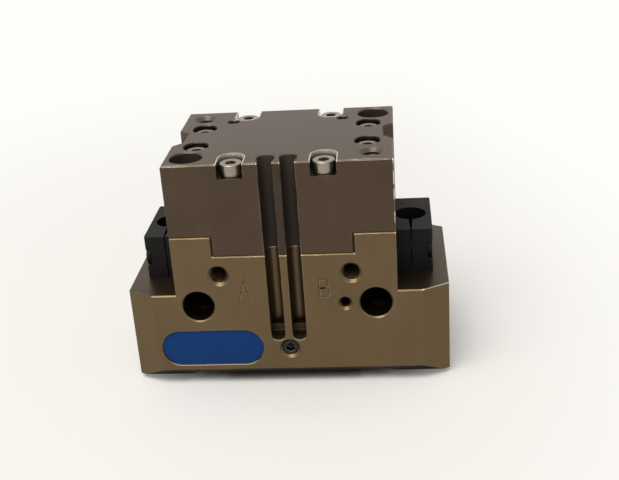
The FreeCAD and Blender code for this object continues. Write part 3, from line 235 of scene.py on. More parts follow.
# Room and light: one soft lamp hangs above the front left of the object. Camera and mirror rays
# that leave the scene find white, so metal shows the same pale room that the camera sees.
AMBIENT = 0.35
AMBIENT_COLOUR = (1.0, 0.97, 0.93, 1)
PALE_ROOM = (1.0, 0.975, 0.92, 1)
LAMP_PLACE = Vector((-0.30, -0.40, 1.0))
LAMP_SIZE = 0.8
LAMP_WATTS = 9.5
LAMP_COLOUR = (1.0, 0.98, 0.95)
room = bpy.data.worlds.new("room")
room.use_nodes = True
scene.world = room
room_tree = room.node_tree
ambient = room_tree.nodes["Background"]
ambient.inputs["Color"].default_value = AMBIENT_COLOUR
ambient.inputs["Strength"].default_value = AMBIENT
pale = room_tree.nodes.new("ShaderNodeBackground")
pale.inputs["Color"].default_value = PALE_ROOM
pale.inputs["Strength"].default_value = 1.0
path = room_tree.nodes.new("ShaderNodeLightPath")
sees_pale = path.outputs["Is Camera Ray"]
for kind in ("Is Glossy Ray", "Is Transmission Ray"):
    either = room_tree.nodes.new("ShaderNodeMath")
    either.operation = "MAXIMUM"
    room_tree.links.new(sees_pale, either.inputs[0])
    room_tree.links.new(path.outputs[kind], either.inputs[1])
    sees_pale = either.outputs[0]
choice = room_tree.nodes.new("ShaderNodeMixShader")
room_tree.links.new(sees_pale, choice.inputs[0])
room_tree.links.new(ambient.outputs[0], choice.inputs[1])
room_tree.links.new(pale.outputs[0], choice.inputs[2])
room_tree.links.new(choice.outputs[0], room_tree.nodes["World Output"].inputs["Surface"])
lamp = bpy.data.lights.new("ceiling_lamp", "AREA")
lamp.shape = "SQUARE"
lamp.size = LAMP_SIZE
lamp.energy = LAMP_WATTS
lamp.color = LAMP_COLOUR
lamp_holder = bpy.data.objects.new("ceiling_lamp", lamp)
lamp_holder.location = LAMP_PLACE
middle = (Vector(cad_box[0]) + Vector(cad_box[1])) / 2
lamp_holder.rotation_euler = (middle - LAMP_PLACE).to_track_quat("-Z", "Y").to_euler()
scene.collection.objects.link(lamp_holder)

# Housing: one block of aluminium, milled and hard-anodised to a satin olive bronze. Fine upright
# tool marks show on its faces, its edges are worn bright, and painted shade darkens its holes inside.
MM = 0.001
WORN_METAL_AND_GLINT = (0.74, 0.70, 0.63, 1)
DEEP_SHADE = (0.006, 0.005, 0.004, 1)
ANODISED_METAL = 0.88


def anodised(finish, dark, light, grain):
    """Satin anodised aluminium: streaks along `grain`, soft clouding, worn edges, painted shade in holes."""
    streak = finish.noise(grain, detail=3.0, roughness=0.6)
    clouding = finish.noise(70.0, detail=3.0)
    tone = finish.ease(0.4 * streak + 0.6 * clouding, 0.25, 0.75)
    knocks = finish.edges(0.25 * MM, 0.015, 0.10) * finish.ease(finish.noise(260.0), 0.40, 0.70)
    # Worn edges shine more where they face up: real wear with a painted highlight on top.
    wear = knocks * (0.3 + 0.7 * finish.upward(0.2, 0.6))
    # Painted shade deep in holes, slots and corners.
    deep = finish.depths(7.0 * MM, 0.03, 0.33)
    skin_colour = finish.mix(wear * 0.8, finish.mix(tone, dark, light), WORN_METAL_AND_GLINT)
    return {"Base Color": finish.mix(deep, skin_colour, DEEP_SHADE), "Metallic": ANODISED_METAL,
            "Roughness": 0.38 + 0.10 * (streak - 0.5) - 0.06 * wear,
            "Normal": finish.bump(streak, 0.05, 0.02 * MM)}


def paint(node, material):
    """Give a CAD node its finish."""
    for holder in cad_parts[node].material_slots:
        holder.material = material


def within(finish, value, ends):
    """1 where the value lies between the two ends."""
    fade = 0.05 * MM
    return finish.ease(value, ends[0] - fade, ends[0]) * (1 - finish.ease(value, ends[1], ends[1] + fade))


def span(first, second):
    """Length of the plane vector with these two parts."""
    return first.math("SQRT", first * first + second * second)


HOUSING_DARK = (0.125, 0.085, 0.043, 1)
HOUSING_LIGHT = (0.152, 0.105, 0.055, 1)
HOUSING_GRAIN = (2600.0, 2600.0, 45.0)
BEVEL_SHADE = (0.012, 0.008, 0.004, 1)
SHOULDER_DARKENING = (0.010, 0.010, 0.011, 1)
SHOULDER_Z = (24.95 * MM, 25.1 * MM)
FRONT_Y = (-20.6 * MM, -20.4 * MM)
SLOT_X = (0.5 * MM, 5.2 * MM)
SLOT_Y = (-20.6 * MM, -15.0 * MM)
SLOT_RIM_Z = (35.1 * MM, 35.31 * MM)
SLOT_FLOOR_Y = (-18.0 * MM, -15.4 * MM)
SLOT_FLOOR_Z = (11.5 * MM, 15.0 * MM)
SLOT_LINE_Z = (13.05 * MM, 13.25 * MM)
SLOT_END = (2.67 * MM, 13.6 * MM)
SLOT_LIP = (1.77 * MM, 1.92 * MM)
SLOT_LIP_TOP = (12.0 * MM, 12.6 * MM)
SIDE_BORE = (22.1 * MM, 21.8 * MM)
SIDE_BORE_EDGE = (4.02 * MM, 4.08 * MM)
SIDE_BORE_MOUTH = (20.5 * MM, 20.65 * MM)
RECESS_MIDDLE = (-19.6 * MM, 10.05 * MM)
RECESS_REACH = 8.1 * MM
RECESS_RIM = (4.85 * MM, 5.05 * MM)
RECESS_LOW = (3.5 * MM, 4.8 * MM)
CORNER_START = (33.4 * MM, -21.0 * MM)
CORNER_CUT = (6.6, 3.6)
CORNER_RIM = (-0.18 * MM, 0.05 * MM)
CORNER_RIM_Z = (24.85 * MM, 25.1 * MM)
olive_bronze = Finish("olive_bronze")
housing_skin = anodised(olive_bronze, HOUSING_DARK, HOUSING_LIGHT, HOUSING_GRAIN)
x, y, z = olive_bronze.axes()
bevel = olive_bronze.upward(-0.95, -0.85) * (1 - olive_bronze.upward(-0.6, -0.4))
shoulder = within(olive_bronze, z, SHOULDER_Z) * olive_bronze.upward(0.9, 0.98)
on_front = 1 - olive_bronze.ease(y, *FRONT_Y)
in_slot = within(olive_bronze, abs(x), SLOT_X)
slot_rim = in_slot * within(olive_bronze, y, SLOT_Y) * within(olive_bronze, z, SLOT_RIM_Z)
slot_floor = in_slot * within(olive_bronze, y, SLOT_FLOOR_Y)
slot_line = slot_floor * within(olive_bronze, z, SLOT_LINE_Z)
slot_shade = slot_floor * within(olive_bronze, z, SLOT_FLOOR_Z)
from_end = span(abs(x) - SLOT_END[0], z - SLOT_END[1])
low_end = 1 - olive_bronze.ease(z, *SLOT_LIP_TOP)
slot_lip = within(olive_bronze, from_end, SLOT_LIP) * low_end * on_front
from_bore = span(abs(x) - SIDE_BORE[0], z - SIDE_BORE[1])
past_mouth = 1 - olive_bronze.ease(abs(y), *SIDE_BORE_MOUTH)
in_bore = (1 - olive_bronze.ease(from_bore, *SIDE_BORE_EDGE)) * past_mouth
below = RECESS_MIDDLE[1] - z
past_end = x.math("MAXIMUM", abs(x - RECESS_MIDDLE[0]) - RECESS_REACH, 0.0)
recess_rim = within(olive_bronze, span(past_end, below), RECESS_RIM)
recess_rim = recess_rim * olive_bronze.ease(below, *RECESS_LOW) * on_front
cut_length = np.hypot(*CORNER_CUT)
cut_x, cut_y = CORNER_CUT[0] / cut_length, CORNER_CUT[1] / cut_length
past_corner = (x - CORNER_START[0]) * cut_y - (y - CORNER_START[1]) * cut_x
corner_rim = within(olive_bronze, past_corner, CORNER_RIM) * within(olive_bronze, z, CORNER_RIM_Z)
# Painted shade on the lower bevel, which faces down towards the shadowed floor.
housing_colour = olive_bronze.mix(0.92 * bevel, housing_skin["Base Color"], BEVEL_SHADE)
# The shoulders' top faces are darkened.
housing_colour = olive_bronze.mix(0.55 * shoulder, housing_colour, SHOULDER_DARKENING)
# Painted shade on the slot floors below the slots and inside the side bores.
housing_colour = olive_bronze.mix(0.72 * slot_shade + 0.85 * in_bore, housing_colour, DEEP_SHADE)
# Painted highlights along the slot rims, steps and lower ends, the recess's lower rim and the corner cut's
# top edge.
glint = 0.4 * slot_rim + 0.12 * slot_line + 0.5 * slot_lip + 0.7 * recess_rim + 0.6 * corner_rim
housing_skin["Base Color"] = olive_bronze.mix(glint, housing_colour, WORN_METAL_AND_GLINT)
paint("housing", olive_bronze.dress(housing_skin))

# Spring housing: the upper block, the same aluminium anodised a shade greyer and browner. Its
# tongue lies in the seat of the housing, and the notches for its screws were milled bright later.
# Painted shade darkens its holes and slots, and painted light and highlights brighten the notches and some
# edges.
BLOCK_DARK = (0.070, 0.048, 0.032, 1)
BLOCK_LIGHT = (0.087, 0.061, 0.042, 1)
BLOCK_GRAIN = (2600.0, 2600.0, 60.0)
MILLED_SHADED = (0.15, 0.135, 0.12, 1)
MILLED_LIT = (0.85, 0.82, 0.77, 1)
SLOT_SHADE_TONE = (0.034, 0.022, 0.015, 1)
BORE_SHADE_TONE = (0.054, 0.039, 0.029, 1)
CUT_SHADE_TONE = (0.090, 0.067, 0.046, 1)
NOTCH_SPINE = (11.05 * MM, 16.2 * MM)
NOTCH_REACH = (-0.1 * MM, 3.2 * MM)
NOTCH_Y = (12.6 * MM, 20.95 * MM)
NOTCH_Z = (55.2 * MM, 58.9 * MM)
NOTCH_RIM = (3.05 * MM, 3.32 * MM)
NOTCH_RIM_Y = (12.6 * MM, 20.6 * MM)
NOTCH_RIM_Z = (58.8 * MM, 59.1 * MM)
LIT_WALL_Y = (17.0 * MM, 19.0 * MM)
LIT_WALL_Z = (57.0 * MM, 58.8 * MM)
FLANGE_HOLE = (22.2 * MM, 15.3 * MM)
FLANGE_HOLE_EDGE = (4.35 * MM, 4.4 * MM)
CORNER_SINK = (21.1 * MM, 7.0 * MM)
CORNER_SINK_EDGE = (3.45 * MM, 3.5 * MM)
MOUTH_Z = (56.0 * MM, 58.93 * MM)
BLOCK_SLOT_X = (0.45 * MM, 4.9 * MM)
BLOCK_SLOT_Y = (-20.45 * MM, -15.3 * MM)
WEB_X = (-0.1 * MM, 0.8 * MM)
WEB_FRONT = (-20.9 * MM, -20.6 * MM)
BLOCK_EDGE_X = (27.2 * MM, 27.5 * MM)
BLOCK_EDGE_Y = (-21.1 * MM, -20.7 * MM)
grey_bronze = Finish("grey_bronze")
block_skin = anodised(grey_bronze, BLOCK_DARK, BLOCK_LIGHT, BLOCK_GRAIN)
x, y, z = grey_bronze.axes()
out, back = abs(x), abs(y)
from_notch = span(out - NOTCH_SPINE[0], x.math("MAXIMUM", NOTCH_SPINE[1] - back, 0.0))
notch = within(grey_bronze, from_notch, NOTCH_REACH) * within(grey_bronze, back, NOTCH_Y)
notch = notch * within(grey_bronze, z, NOTCH_Z)
notch_rim_glint = within(grey_bronze, from_notch, NOTCH_RIM) * within(grey_bronze, back, NOTCH_RIM_Y)
notch_rim_glint = notch_rim_glint * within(grey_bronze, z, NOTCH_RIM_Z)
lit_wall = grey_bronze.ease(z, *LIT_WALL_Z) * (1 - 0.9 * grey_bronze.ease(back, *LIT_WALL_Y))
near_top = within(grey_bronze, z, MOUTH_Z)
from_hole = span(out - FLANGE_HOLE[0], back - FLANGE_HOLE[1])
hole_wall = (1 - grey_bronze.ease(from_hole, *FLANGE_HOLE_EDGE)) * near_top
from_sink = span(out - CORNER_SINK[0], back - CORNER_SINK[1])
sink_wall = (1 - grey_bronze.ease(from_sink, *CORNER_SINK_EDGE)) * near_top
hole_mouth_shade = grey_bronze.mix(grey_bronze.ease(x * y, 0.0, MM * MM), CUT_SHADE_TONE, BORE_SHADE_TONE)
in_slot = within(grey_bronze, out, BLOCK_SLOT_X) * within(grey_bronze, y, BLOCK_SLOT_Y)
web = within(grey_bronze, out, WEB_X) * (1 - grey_bronze.ease(y, *WEB_FRONT))
glint_breaks = grey_bronze.ease(grey_bronze.noise(400.0, detail=3.0), 0.42, 0.62)
block_edge_glint = within(grey_bronze, x, BLOCK_EDGE_X) * within(grey_bronze, y, BLOCK_EDGE_Y) * glint_breaks
# Painted shade in the corner counterbores and on the web between the slots.
block_colour = grey_bronze.mix(0.85 * sink_wall + 0.3 * web, block_skin["Base Color"], DEEP_SHADE)
# Painted shade in the flange holes' mouths, deeper in the centring bores than in the open holes.
block_colour = grey_bronze.mix(0.85 * hole_wall, block_colour, hole_mouth_shade)
# Painted shade in the slots, where the skin is also made rougher and less metallic.
block_colour = grey_bronze.mix(0.8 * in_slot, block_colour, SLOT_SHADE_TONE)
# The notches are milled bright, painted lit towards the top and the back wall and painted in shade lower
# down.
block_colour = grey_bronze.mix(notch, block_colour, grey_bronze.mix(lit_wall, MILLED_SHADED, MILLED_LIT))
# Painted highlights on the notch rims and, in broken patches, on the block's front right edge.
block_skin["Base Color"] = grey_bronze.mix(0.7 * notch_rim_glint + 0.7 * block_edge_glint, block_colour, MILLED_LIT)
shaded_hollows = in_slot + hole_wall
block_skin["Metallic"] = ANODISED_METAL + 0.12 * notch - 0.68 * shaded_hollows - 0.6 * notch * lit_wall
block_skin["Roughness"] = block_skin["Roughness"] - 0.1 * notch + 0.25 * in_slot
paint("spring_housing", grey_bronze.dress(block_skin))

# Cap screws: eight zinc-plated M3 socket screws hold the spring housing down. Their heads are
# cold-formed, rounded at the rim and pressed with a hexagon socket.
COLUMNS = 144
ROUND = (np.arange(COLUMNS) + 0.5) * 2 * np.pi / COLUMNS
SHARP_EDGE = np.radians(32)


def skin(rows, columns, looped=False):
    """Quads of a grid whose last column meets its first; the last row meets the first when looped.

    Otherwise a fan of triangles to two more points, one for each end, closes the first and last row.
    """
    count = rows if looped else rows - 1
    row, column = np.mgrid[0:count, 0:columns]
    above, after = (row + 1) % rows, (column + 1) % columns
    quads = np.stack([row * columns + column, row * columns + after,
                      above * columns + after, above * columns + column], axis=-1).reshape(-1, 4)
    if looped:
        return quads, np.zeros((0, 3), dtype=int)
    rim = np.arange(columns)
    following = np.roll(rim, -1)
    first = np.stack([np.full(columns, rows * columns), following, rim], axis=-1)
    top = (rows - 1) * columns
    last = np.stack([np.full(columns, rows * columns + 1), rim + top, following + top], axis=-1)
    return quads, np.concatenate([first, last])


def turned(profile, reach=0.0, looped=False):
    """Form of stacked rings: each ring of the profile has a radius and a level, in millimetres.

    A point at angle a lies at (radius cos a + reach sign(cos a), radius sin a, level). A radius may
    change round its ring, as in a hexagon, and a reach draws the rings out to long ovals.
    """
    radii = np.stack([np.broadcast_to(radius, ROUND.shape) for radius, level in profile])
    levels = np.stack([np.broadcast_to(level, ROUND.shape) for radius, level in profile])
    across = radii * np.cos(ROUND) + reach * np.sign(np.cos(ROUND))
    points = np.stack([across, radii * np.sin(ROUND), levels], axis=-1).reshape(-1, 3)
    quads, triangles = skin(len(profile), COLUMNS, looped)
    if not looped:
        points = np.concatenate([points, [[0, 0, levels[0, 0]], [0, 0, levels[-1, 0]]]])
    return points, quads, triangles


def joined(shapes):
    """One shape from several: their points in a row, and each face's numbers moved past those before."""
    starts = np.cumsum([0] + [len(shape[0]) for shape in shapes[:-1]])
    return (np.concatenate([shape[0] for shape in shapes]),
            np.concatenate([shape[1] + start for shape, start in zip(shapes, starts)]),
            np.concatenate([shape[2] + start for shape, start in zip(shapes, starts)]))


def set_at(shape, places, facing=(0, 0, 1), across=(1, 0, 0)):
    """The shape at each place, its own Z turned to `facing` and its own X to `across`."""
    basis = np.array([across, np.cross(facing, across), facing], dtype=float)
    return joined([(shape[0] @ basis + np.array(place), shape[1], shape[2]) for place in places])


def make_piece(name, shape, material, body, replaced=()):
    """Mesh object from a shape in millimetres: smooth but for its sharp edges, and carried by a body."""
    points, quads, triangles = shape
    mesh = bpy.data.meshes.new(name)
    mesh.from_pydata((points * MM).tolist(), [], quads.tolist() + triangles.tolist())
    mesh.shade_smooth()
    mesh.set_sharp_from_angle(angle=SHARP_EDGE)
    mesh.materials.append(material)
    piece = bpy.data.objects.new(name, mesh)
    scene.collection.objects.link(piece)
    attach(piece, body)
    if replaced:
        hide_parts(*replaced)
    return piece


def hexagon(flats):
    """Radius of a hexagon at every angle: half the flats over the cosine from the nearest flat's middle."""
    from_flat = (ROUND + np.pi / 6) % (np.pi / 3) - np.pi / 6
    return flats / 2 / np.cos(from_flat)


def cap_screw(shank, length, head, height, flats, depth):
    """Rings from the chamfered tip up the shank, out and up the head, round its rim and down the socket."""
    socket = hexagon(flats)
    rim = 0.12 * head
    return turned([(shank - 0.35, -length), (shank, 0.4 - length), (shank, 0.0), (head - 0.15, 0.0),
                   (head, 0.15), (head, height - rim), (head - 0.13 * rim, height - 0.5 * rim),
                   (head - 0.5 * rim, height - 0.13 * rim), (head - rim, height), (flats * 0.66, height),
                   (socket, height - 0.14), (socket, height - depth), (0.25 * flats, height - depth - 0.2)])


def four_places(out, back, level):
    """The four places that mirror one another in X and Y."""
    return [(sx * out, sy * back, level) for sx in (-1, 1) for sy in (-1, 1)]


RUBBED_STEEL = (0.50, 0.47, 0.42, 1)
TARNISH = (0.85, 0.77, 0.66, 1)


def plated_steel(name, dark, light, roughness, shade_share, hollow=1.6, rubbed=0.0):
    """Plated steel: fine mottling, tarnish, rubbed edges, and painted shade in holes about as wide as
    `hollow`.
    """
    finish = Finish(name)
    mottle = finish.noise(900.0, detail=3.0)
    tarnish = finish.ease(finish.noise(350.0), 0.45, 0.75)
    brown = [share * part for share, part in zip(TARNISH, light)]
    metal = finish.mix(tarnish * 0.35, finish.mix(mottle, dark, light), brown)
    wear = finish.edges(0.15 * MM, 0.02, 0.2)
    # Painted shade deep in holes.
    deep = finish.depths(hollow * MM, 0.15, 0.6)
    worn = finish.mix(rubbed * wear, finish.mix(deep * shade_share, metal, DEEP_SHADE), RUBBED_STEEL)
    return finish.dress({"Base Color": worn, "Metallic": 1.0,
                         "Roughness": roughness + 0.14 * (mottle - 0.5) + 0.1 * tarnish,
                         "Normal": finish.bump(mottle, 0.06, 0.02 * MM)})


bright_steel = plated_steel("bright_steel", dark=(0.26, 0.228, 0.192, 1), light=(0.37, 0.33, 0.28, 1),
                            roughness=0.30, shade_share=0.85)
M3_CAP = {"shank": 1.5, "head": 2.75, "height": 3.0, "flats": 2.5, "depth": 1.4}
EDGE_SEAT, EDGE_TIP = 55.3, 27.3
CORNER_SEAT, CORNER_TIP = 55.1, 32.5
edge_screw = cap_screw(length=EDGE_SEAT - EDGE_TIP, **M3_CAP)
corner_screw = cap_screw(length=CORNER_SEAT - CORNER_TIP, **M3_CAP)
make_piece("edge_cap_screws", set_at(edge_screw, four_places(11.05, 17.5, EDGE_SEAT)),
           bright_steel, "gripper_body", ["edge_screws"])
make_piece("corner_cap_screws", set_at(corner_screw, four_places(21.1, 7.0, CORNER_SEAT)),
           bright_steel, "gripper_body", ["corner_screws"])

# Plugs: blackened set screws close the grease hole in the front face and the two direct air ports
# in the top face. They are threaded right up to a chamfer, with a hexagon socket in the end.
def set_screw(radius, length, flats, depth):
    """Rings up from the cone point to the chamfered end, over its face and down the socket."""
    socket = hexagon(flats)
    return turned([(radius * 0.45, -length), (radius, 0.5 * radius - length), (radius, -0.25),
                   (radius - 0.25, 0.0), (flats * 0.62, 0.0), (socket, -0.12), (socket, -depth),
                   (0.25 * flats, -depth - 0.2)])


dark_steel = plated_steel("dark_steel", dark=(0.030, 0.028, 0.026, 1), light=(0.060, 0.055, 0.050, 1),
                          roughness=0.34, shade_share=0.9, hollow=2.2, rubbed=0.7)
grease_plug = set_screw(radius=2.0, length=5.0, flats=2.2, depth=1.8)
make_piece("grease_plug", set_at(grease_plug, [(0, -20.2, 9.4)], facing=(0, -1, 0)),
           dark_steel, "gripper_body", ["lube_plug"])
air_plug = set_screw(radius=1.5, length=4.0, flats=1.5, depth=1.4)
make_piece("air_plugs", set_at(air_plug, [(-14.3, 12.25, 58.3), (14.3, 12.25, 58.3)]),
           dark_steel, "gripper_body", ["direct_port_plugs"])

# Threads: tapped in the air ports, the purge port, the flange holes and the finger holes. Each is a
# bare aluminium or steel ridge that winds down the wall of its hole.
def tapped(core, pitch, ridge, start, end):
    """Sleeve on the wall of a hole, from `start` to `end` below its mouth, as a looped profile.

    At depth d and angle a the inner wall stands in by ridge times a triangle wave of d / pitch - a / 2 pi,
    which grows over the first turn. The outer wall lies just inside the metal.
    """
    rows_per_turn, sunk, first_ridge = 8, 0.06, 0.05
    depth = np.linspace(start, end, int((end - start) / pitch * rows_per_turn))[:, None]
    turns = depth / pitch - ROUND / (2 * np.pi)
    wave = np.abs(turns % 1.0 - 0.5) * 2
    inner = core - ridge * wave * np.clip((depth - start) / pitch, first_ridge, 1)
    wall = [(core + sunk, -end), (core + sunk, -start)]
    return turned(wall + list(zip(inner, -depth)), looped=True)


M3_TAP = {"core": 1.25, "pitch": 0.5, "ridge": 0.14}
M4_TAP = {"core": 1.65, "pitch": 0.7, "ridge": 0.18}
M5_TAP = {"core": 2.1, "pitch": 0.8, "ridge": 0.22}
cut_thread = plated_steel("cut_thread", dark=(0.17, 0.135, 0.09, 1), light=(0.30, 0.245, 0.17, 1),
                          roughness=0.3, shade_share=0.9, hollow=3.0)
air_thread = tapped(start=0.65, end=8.8, **M5_TAP)
purge_thread = tapped(start=0.65, end=5.8, **M3_TAP)
port_threads = joined([set_at(air_thread, [(-16.3, -21, 30.1), (16.3, -21, 30.1)], facing=(0, -1, 0)),
                       set_at(purge_thread, [(14.5, -21, 21.8)], facing=(0, -1, 0))])
make_piece("port_threads", port_threads, cut_thread, "gripper_body")
# The flange holes' threads are the same thread painted darker: painted shade deep in those holes.
shaded_thread = plated_steel("shaded_thread", dark=(0.06, 0.046, 0.032, 1), light=(0.12, 0.095, 0.068, 1),
                           roughness=0.34, shade_share=0.9, hollow=3.5)
open_thread = tapped(start=0.95, end=12.0, **M5_TAP)
sunk_thread = tapped(start=6.1, end=14.0, **M5_TAP)
flange_threads = joined([set_at(open_thread, [(-22.2, 15.3, 59), (22.2, -15.3, 59)]),
                         set_at(sunk_thread, [(-22.2, -15.3, 59), (22.2, 15.3, 59)])])
make_piece("flange_threads", flange_threads, shaded_thread, "gripper_body")
finger_thread = tapped(start=2.1, end=8.9, **M4_TAP)
for side, body in ((-1, "jaw_left"), (1, "jaw_right")):
    finger_threads = set_at(finger_thread, [(side * 20, 0, 0), (side * 30, 0, 0)], facing=(0, 0, -1))
    make_piece(f"finger_threads_{body}", finger_threads, bright_steel, body)

# Sensor brackets: black glass-filled plastic clamps with a dull, slightly grainy skin. They stand on
# the shoulders, and a low screw along X pinches the slit round the sensor.
PLASTIC_DARK = (0.005, 0.0048, 0.005, 1)
PLASTIC_LIGHT = (0.009, 0.0085, 0.009, 1)
PLASTIC_RUBBED = (0.05, 0.05, 0.05, 1)
PLASTIC_SHADE = (0.002, 0.002, 0.002, 1)
black_plastic = Finish("black_plastic")
clouding = black_plastic.noise(120.0)
plastic_tone = black_plastic.mix(clouding, PLASTIC_DARK, PLASTIC_LIGHT)
plastic_wear = black_plastic.edges(0.25 * MM, 0.05, 0.3)
plastic_tone = black_plastic.mix(plastic_wear * 0.35, plastic_tone, PLASTIC_RUBBED)
# Painted shade deep in the bores, slit and corners.
plastic_hole_shade = black_plastic.depths(7.0 * MM, 0.08, 0.45)
black_plastic.dress({"Base Color": black_plastic.mix(plastic_hole_shade, plastic_tone, PLASTIC_SHADE),
                     "Roughness": 0.52 + 0.15 * clouding, "Specular IOR Level": 0.18,
                     "Normal": black_plastic.bump(black_plastic.noise(1800.0), 0.25, 0.02 * MM)})
for bracket in ("sensor_bracket_left", "sensor_bracket_right"):
    paint(bracket, black_plastic.material)
black_screw = plated_steel("black_screw", dark=(0.012, 0.012, 0.012, 1), light=(0.024, 0.023, 0.022, 1),
                           roughness=0.42, shade_share=0.9)
clamp_screw = cap_screw(shank=1.5, length=12.3, head=2.75, height=1.1, flats=2.0, depth=0.7)
clamp_screws = joined([
    set_at(clamp_screw, [(side * 35.2, -8.2, 30.75)], facing=(side, 0, 0), across=(0, side, 0))
    for side in (-1, 1)])
make_piece("clamp_screws", clamp_screws, black_screw, "gripper_body", ["bracket_screws"])

# Name plate: a rounded blue foil plate, glued into its recess in the front face. Its rim is punched
# and falls away a little, and a painted shade darkens it to a thin dark line.
BLUE_DARK = (0.002, 0.034, 0.150, 1)
BLUE_LIGHT = (0.003, 0.043, 0.185, 1)
BLUE_RIM_SHADE = (0.003, 0.010, 0.035, 1)
PLATE_RADIUS = 4.8
PLATE_REACH = 8.1
PLATE_PLACE = (-19.6, -20.5, 10.05)
blue_coating = Finish("blue_coating")
blue_mottle = blue_coating.noise(400.0)
blue_face = blue_coating.mix(blue_mottle, BLUE_DARK, BLUE_LIGHT)
# Painted shade along the plate's rim.
blue_rim_shade = blue_coating.edges(0.3 * MM, 0.03, 0.2)
blue_coating.dress({"Base Color": blue_coating.mix(blue_rim_shade, blue_face, BLUE_RIM_SHADE),
                    "Roughness": 0.42 + 0.12 * blue_mottle, "Specular IOR Level": 0.12,
                    "Normal": blue_coating.bump(blue_mottle, 0.05, 0.02 * MM)})
plate = turned([(PLATE_RADIUS, 0.0), (PLATE_RADIUS, 0.13), (PLATE_RADIUS - 0.06, 0.2),
                (PLATE_RADIUS - 0.2, 0.24)], reach=PLATE_REACH)
make_piece("blue_plate", set_at(plate, [PLATE_PLACE], facing=(0, -1, 0)), blue_coating.material,
           "gripper_body", ["name_plate"])

# Port letters: A and B beside the sensor slots name the two air ports. They are engraved with a
# fine round cutter. Each stroke is a strip painted dark for the shade in its groove, with a strip
# painted bright along its lower right side for the highlight on its burred edge.
FRONT_FACE = -21.0


def stroke(line, width, low, high):
    """Flat bead along a line of (x, z) points in the front face.

    Its section has four corners: the full width at `low` and seven tenths of it at `high`, both
    measured out of the face. The section stays square to the line's own gradient.
    """
    line = np.array(line, dtype=float)
    along = np.gradient(line, axis=0)
    along /= np.linalg.norm(along, axis=1, keepdims=True)
    aside = np.stack([-along[:, 1], along[:, 0]], axis=-1)
    offsets = width * np.array([0.5, 0.35, -0.35, -0.5])
    rises = np.array([low, high, high, low])
    flat = line[:, None, :] + aside[:, None, :] * offsets[:, None]
    depth = np.broadcast_to(FRONT_FACE - rises, flat.shape[:2])
    points = np.stack([flat[..., 0], depth, flat[..., 1]], axis=-1).reshape(-1, 3)
    ends = [[line[end, 0], FRONT_FACE - low, line[end, 1]] for end in (0, -1)]
    quads, triangles = skin(len(line), len(rises))
    return np.concatenate([points, ends]), quads, triangles


def bowl(left, right, middle, radius):
    """Line of a letter's bowl: a half circle at the right, with a straight lead to the left at both ends."""
    half = np.linspace(np.pi / 2, -np.pi / 2, 25)
    arc = np.stack([right + radius * np.cos(half), middle + radius * np.sin(half)], axis=-1)
    return np.concatenate([[[left, middle + radius]], arc, [[left, middle - radius]]])


def strip_metal(name, dark, light, metallic, roughness):
    """Finely mottled metal, here for the letters' painted shade and painted highlight."""
    finish = Finish(name)
    return finish.dress({"Base Color": finish.mix(finish.noise(900.0), dark, light),
                         "Metallic": metallic, "Roughness": roughness})


LETTER_A = np.array([-10.2, 23.7])
LETTER_B = np.array([9.4, 23.7])
LETTER_TOP = 4.8
A_FOOT = 1.35
A_BAR = (0.87, 1.7)
B_STEM = -1.1
BURR_HIGHLIGHT_SHIFT = np.array([0.15, -0.15])
strokes = [LETTER_A + [(-A_FOOT, 0.0), (0.0, LETTER_TOP)], LETTER_A + [(0.0, LETTER_TOP), (A_FOOT, 0.0)],
           LETTER_A + [(-A_BAR[0], A_BAR[1]), A_BAR], LETTER_B + [(B_STEM, 0.0), (B_STEM, LETTER_TOP)],
           LETTER_B + bowl(B_STEM, 0.05, 3.65, 1.15), LETTER_B + bowl(B_STEM, 0.1, 1.25, 1.25)]
# Painted shade: the dark strips stand for the shade inside each groove.
groove_shade = strip_metal("groove_shade", dark=(0.035, 0.026, 0.014, 1), light=(0.060, 0.045, 0.026, 1),
                      metallic=0.3, roughness=0.55)
shade_strips = joined([stroke(line, width=0.34, low=-0.05, high=0.012) for line in strokes])
make_piece("letter_groove_shades", shade_strips, groove_shade, "gripper_body")
# Painted highlight: the bright strips stand for the light caught along each groove's lower right edge.
burr_highlight = strip_metal("burr_highlight", dark=(0.17, 0.14, 0.092, 1), light=(0.27, 0.23, 0.165, 1),
                 metallic=0.7, roughness=0.35)
highlight_strips = joined([stroke(line + BURR_HIGHLIGHT_SHIFT, width=0.30, low=-0.05, high=0.008) for line in strokes])
make_piece("letter_burr_highlights", highlight_strips, burr_highlight, "gripper_body")

# Jaws, wedge hook, cams and cover: hardened steel, ground along the stroke. The piston is turned
# aluminium, and the screws and magnets inside are plain plated pieces.
GROUND_EDGE = (0.62, 0.60, 0.57, 1)


def ground_steel(name, dark, light, grain, roughness):
    """Bare metal with grinding marks along `grain` and worn edges."""
    finish = Finish(name)
    marks = finish.noise(grain, detail=3.0)
    wear = finish.edges(0.25 * MM, 0.05, 0.3)
    metal = finish.mix(wear * 0.5, finish.mix(marks, dark, light), GROUND_EDGE)
    return finish.dress({"Base Color": metal, "Metallic": 1.0, "Roughness": roughness + 0.15 * (marks - 0.5),
                         "Normal": finish.bump(marks, 0.08, 0.02 * MM)})


jaw_steel = ground_steel("jaw_steel", dark=(0.22, 0.21, 0.20, 1), light=(0.34, 0.33, 0.31, 1),
                         grain=(40.0, 2500.0, 2500.0), roughness=0.36)
for node in ("base_jaw_left", "base_jaw_right", "wedge_hook", "control_cam_left", "control_cam_right",
             "jaw_cover"):
    paint(node, jaw_steel)
piston_metal = ground_steel("piston_metal", dark=(0.50, 0.50, 0.50, 1), light=(0.66, 0.66, 0.65, 1),
                            grain=(300.0, 300.0, 2500.0), roughness=0.3)
paint("piston", piston_metal)
for node in ("piston_screw", "cam_screw_left", "cam_screw_right", "piston_magnets"):
    paint(node, bright_steel)
cover_screw = cap_screw(shank=0.8, length=5.0, head=1.6, height=0.9, flats=1.3, depth=0.5)
make_piece("cover_screws", set_at(cover_screw, four_places(9.74, 10.3, 1.9), facing=(0, 0, -1)),
           dark_steel, "gripper_body", ["jaw_cover_screws"])

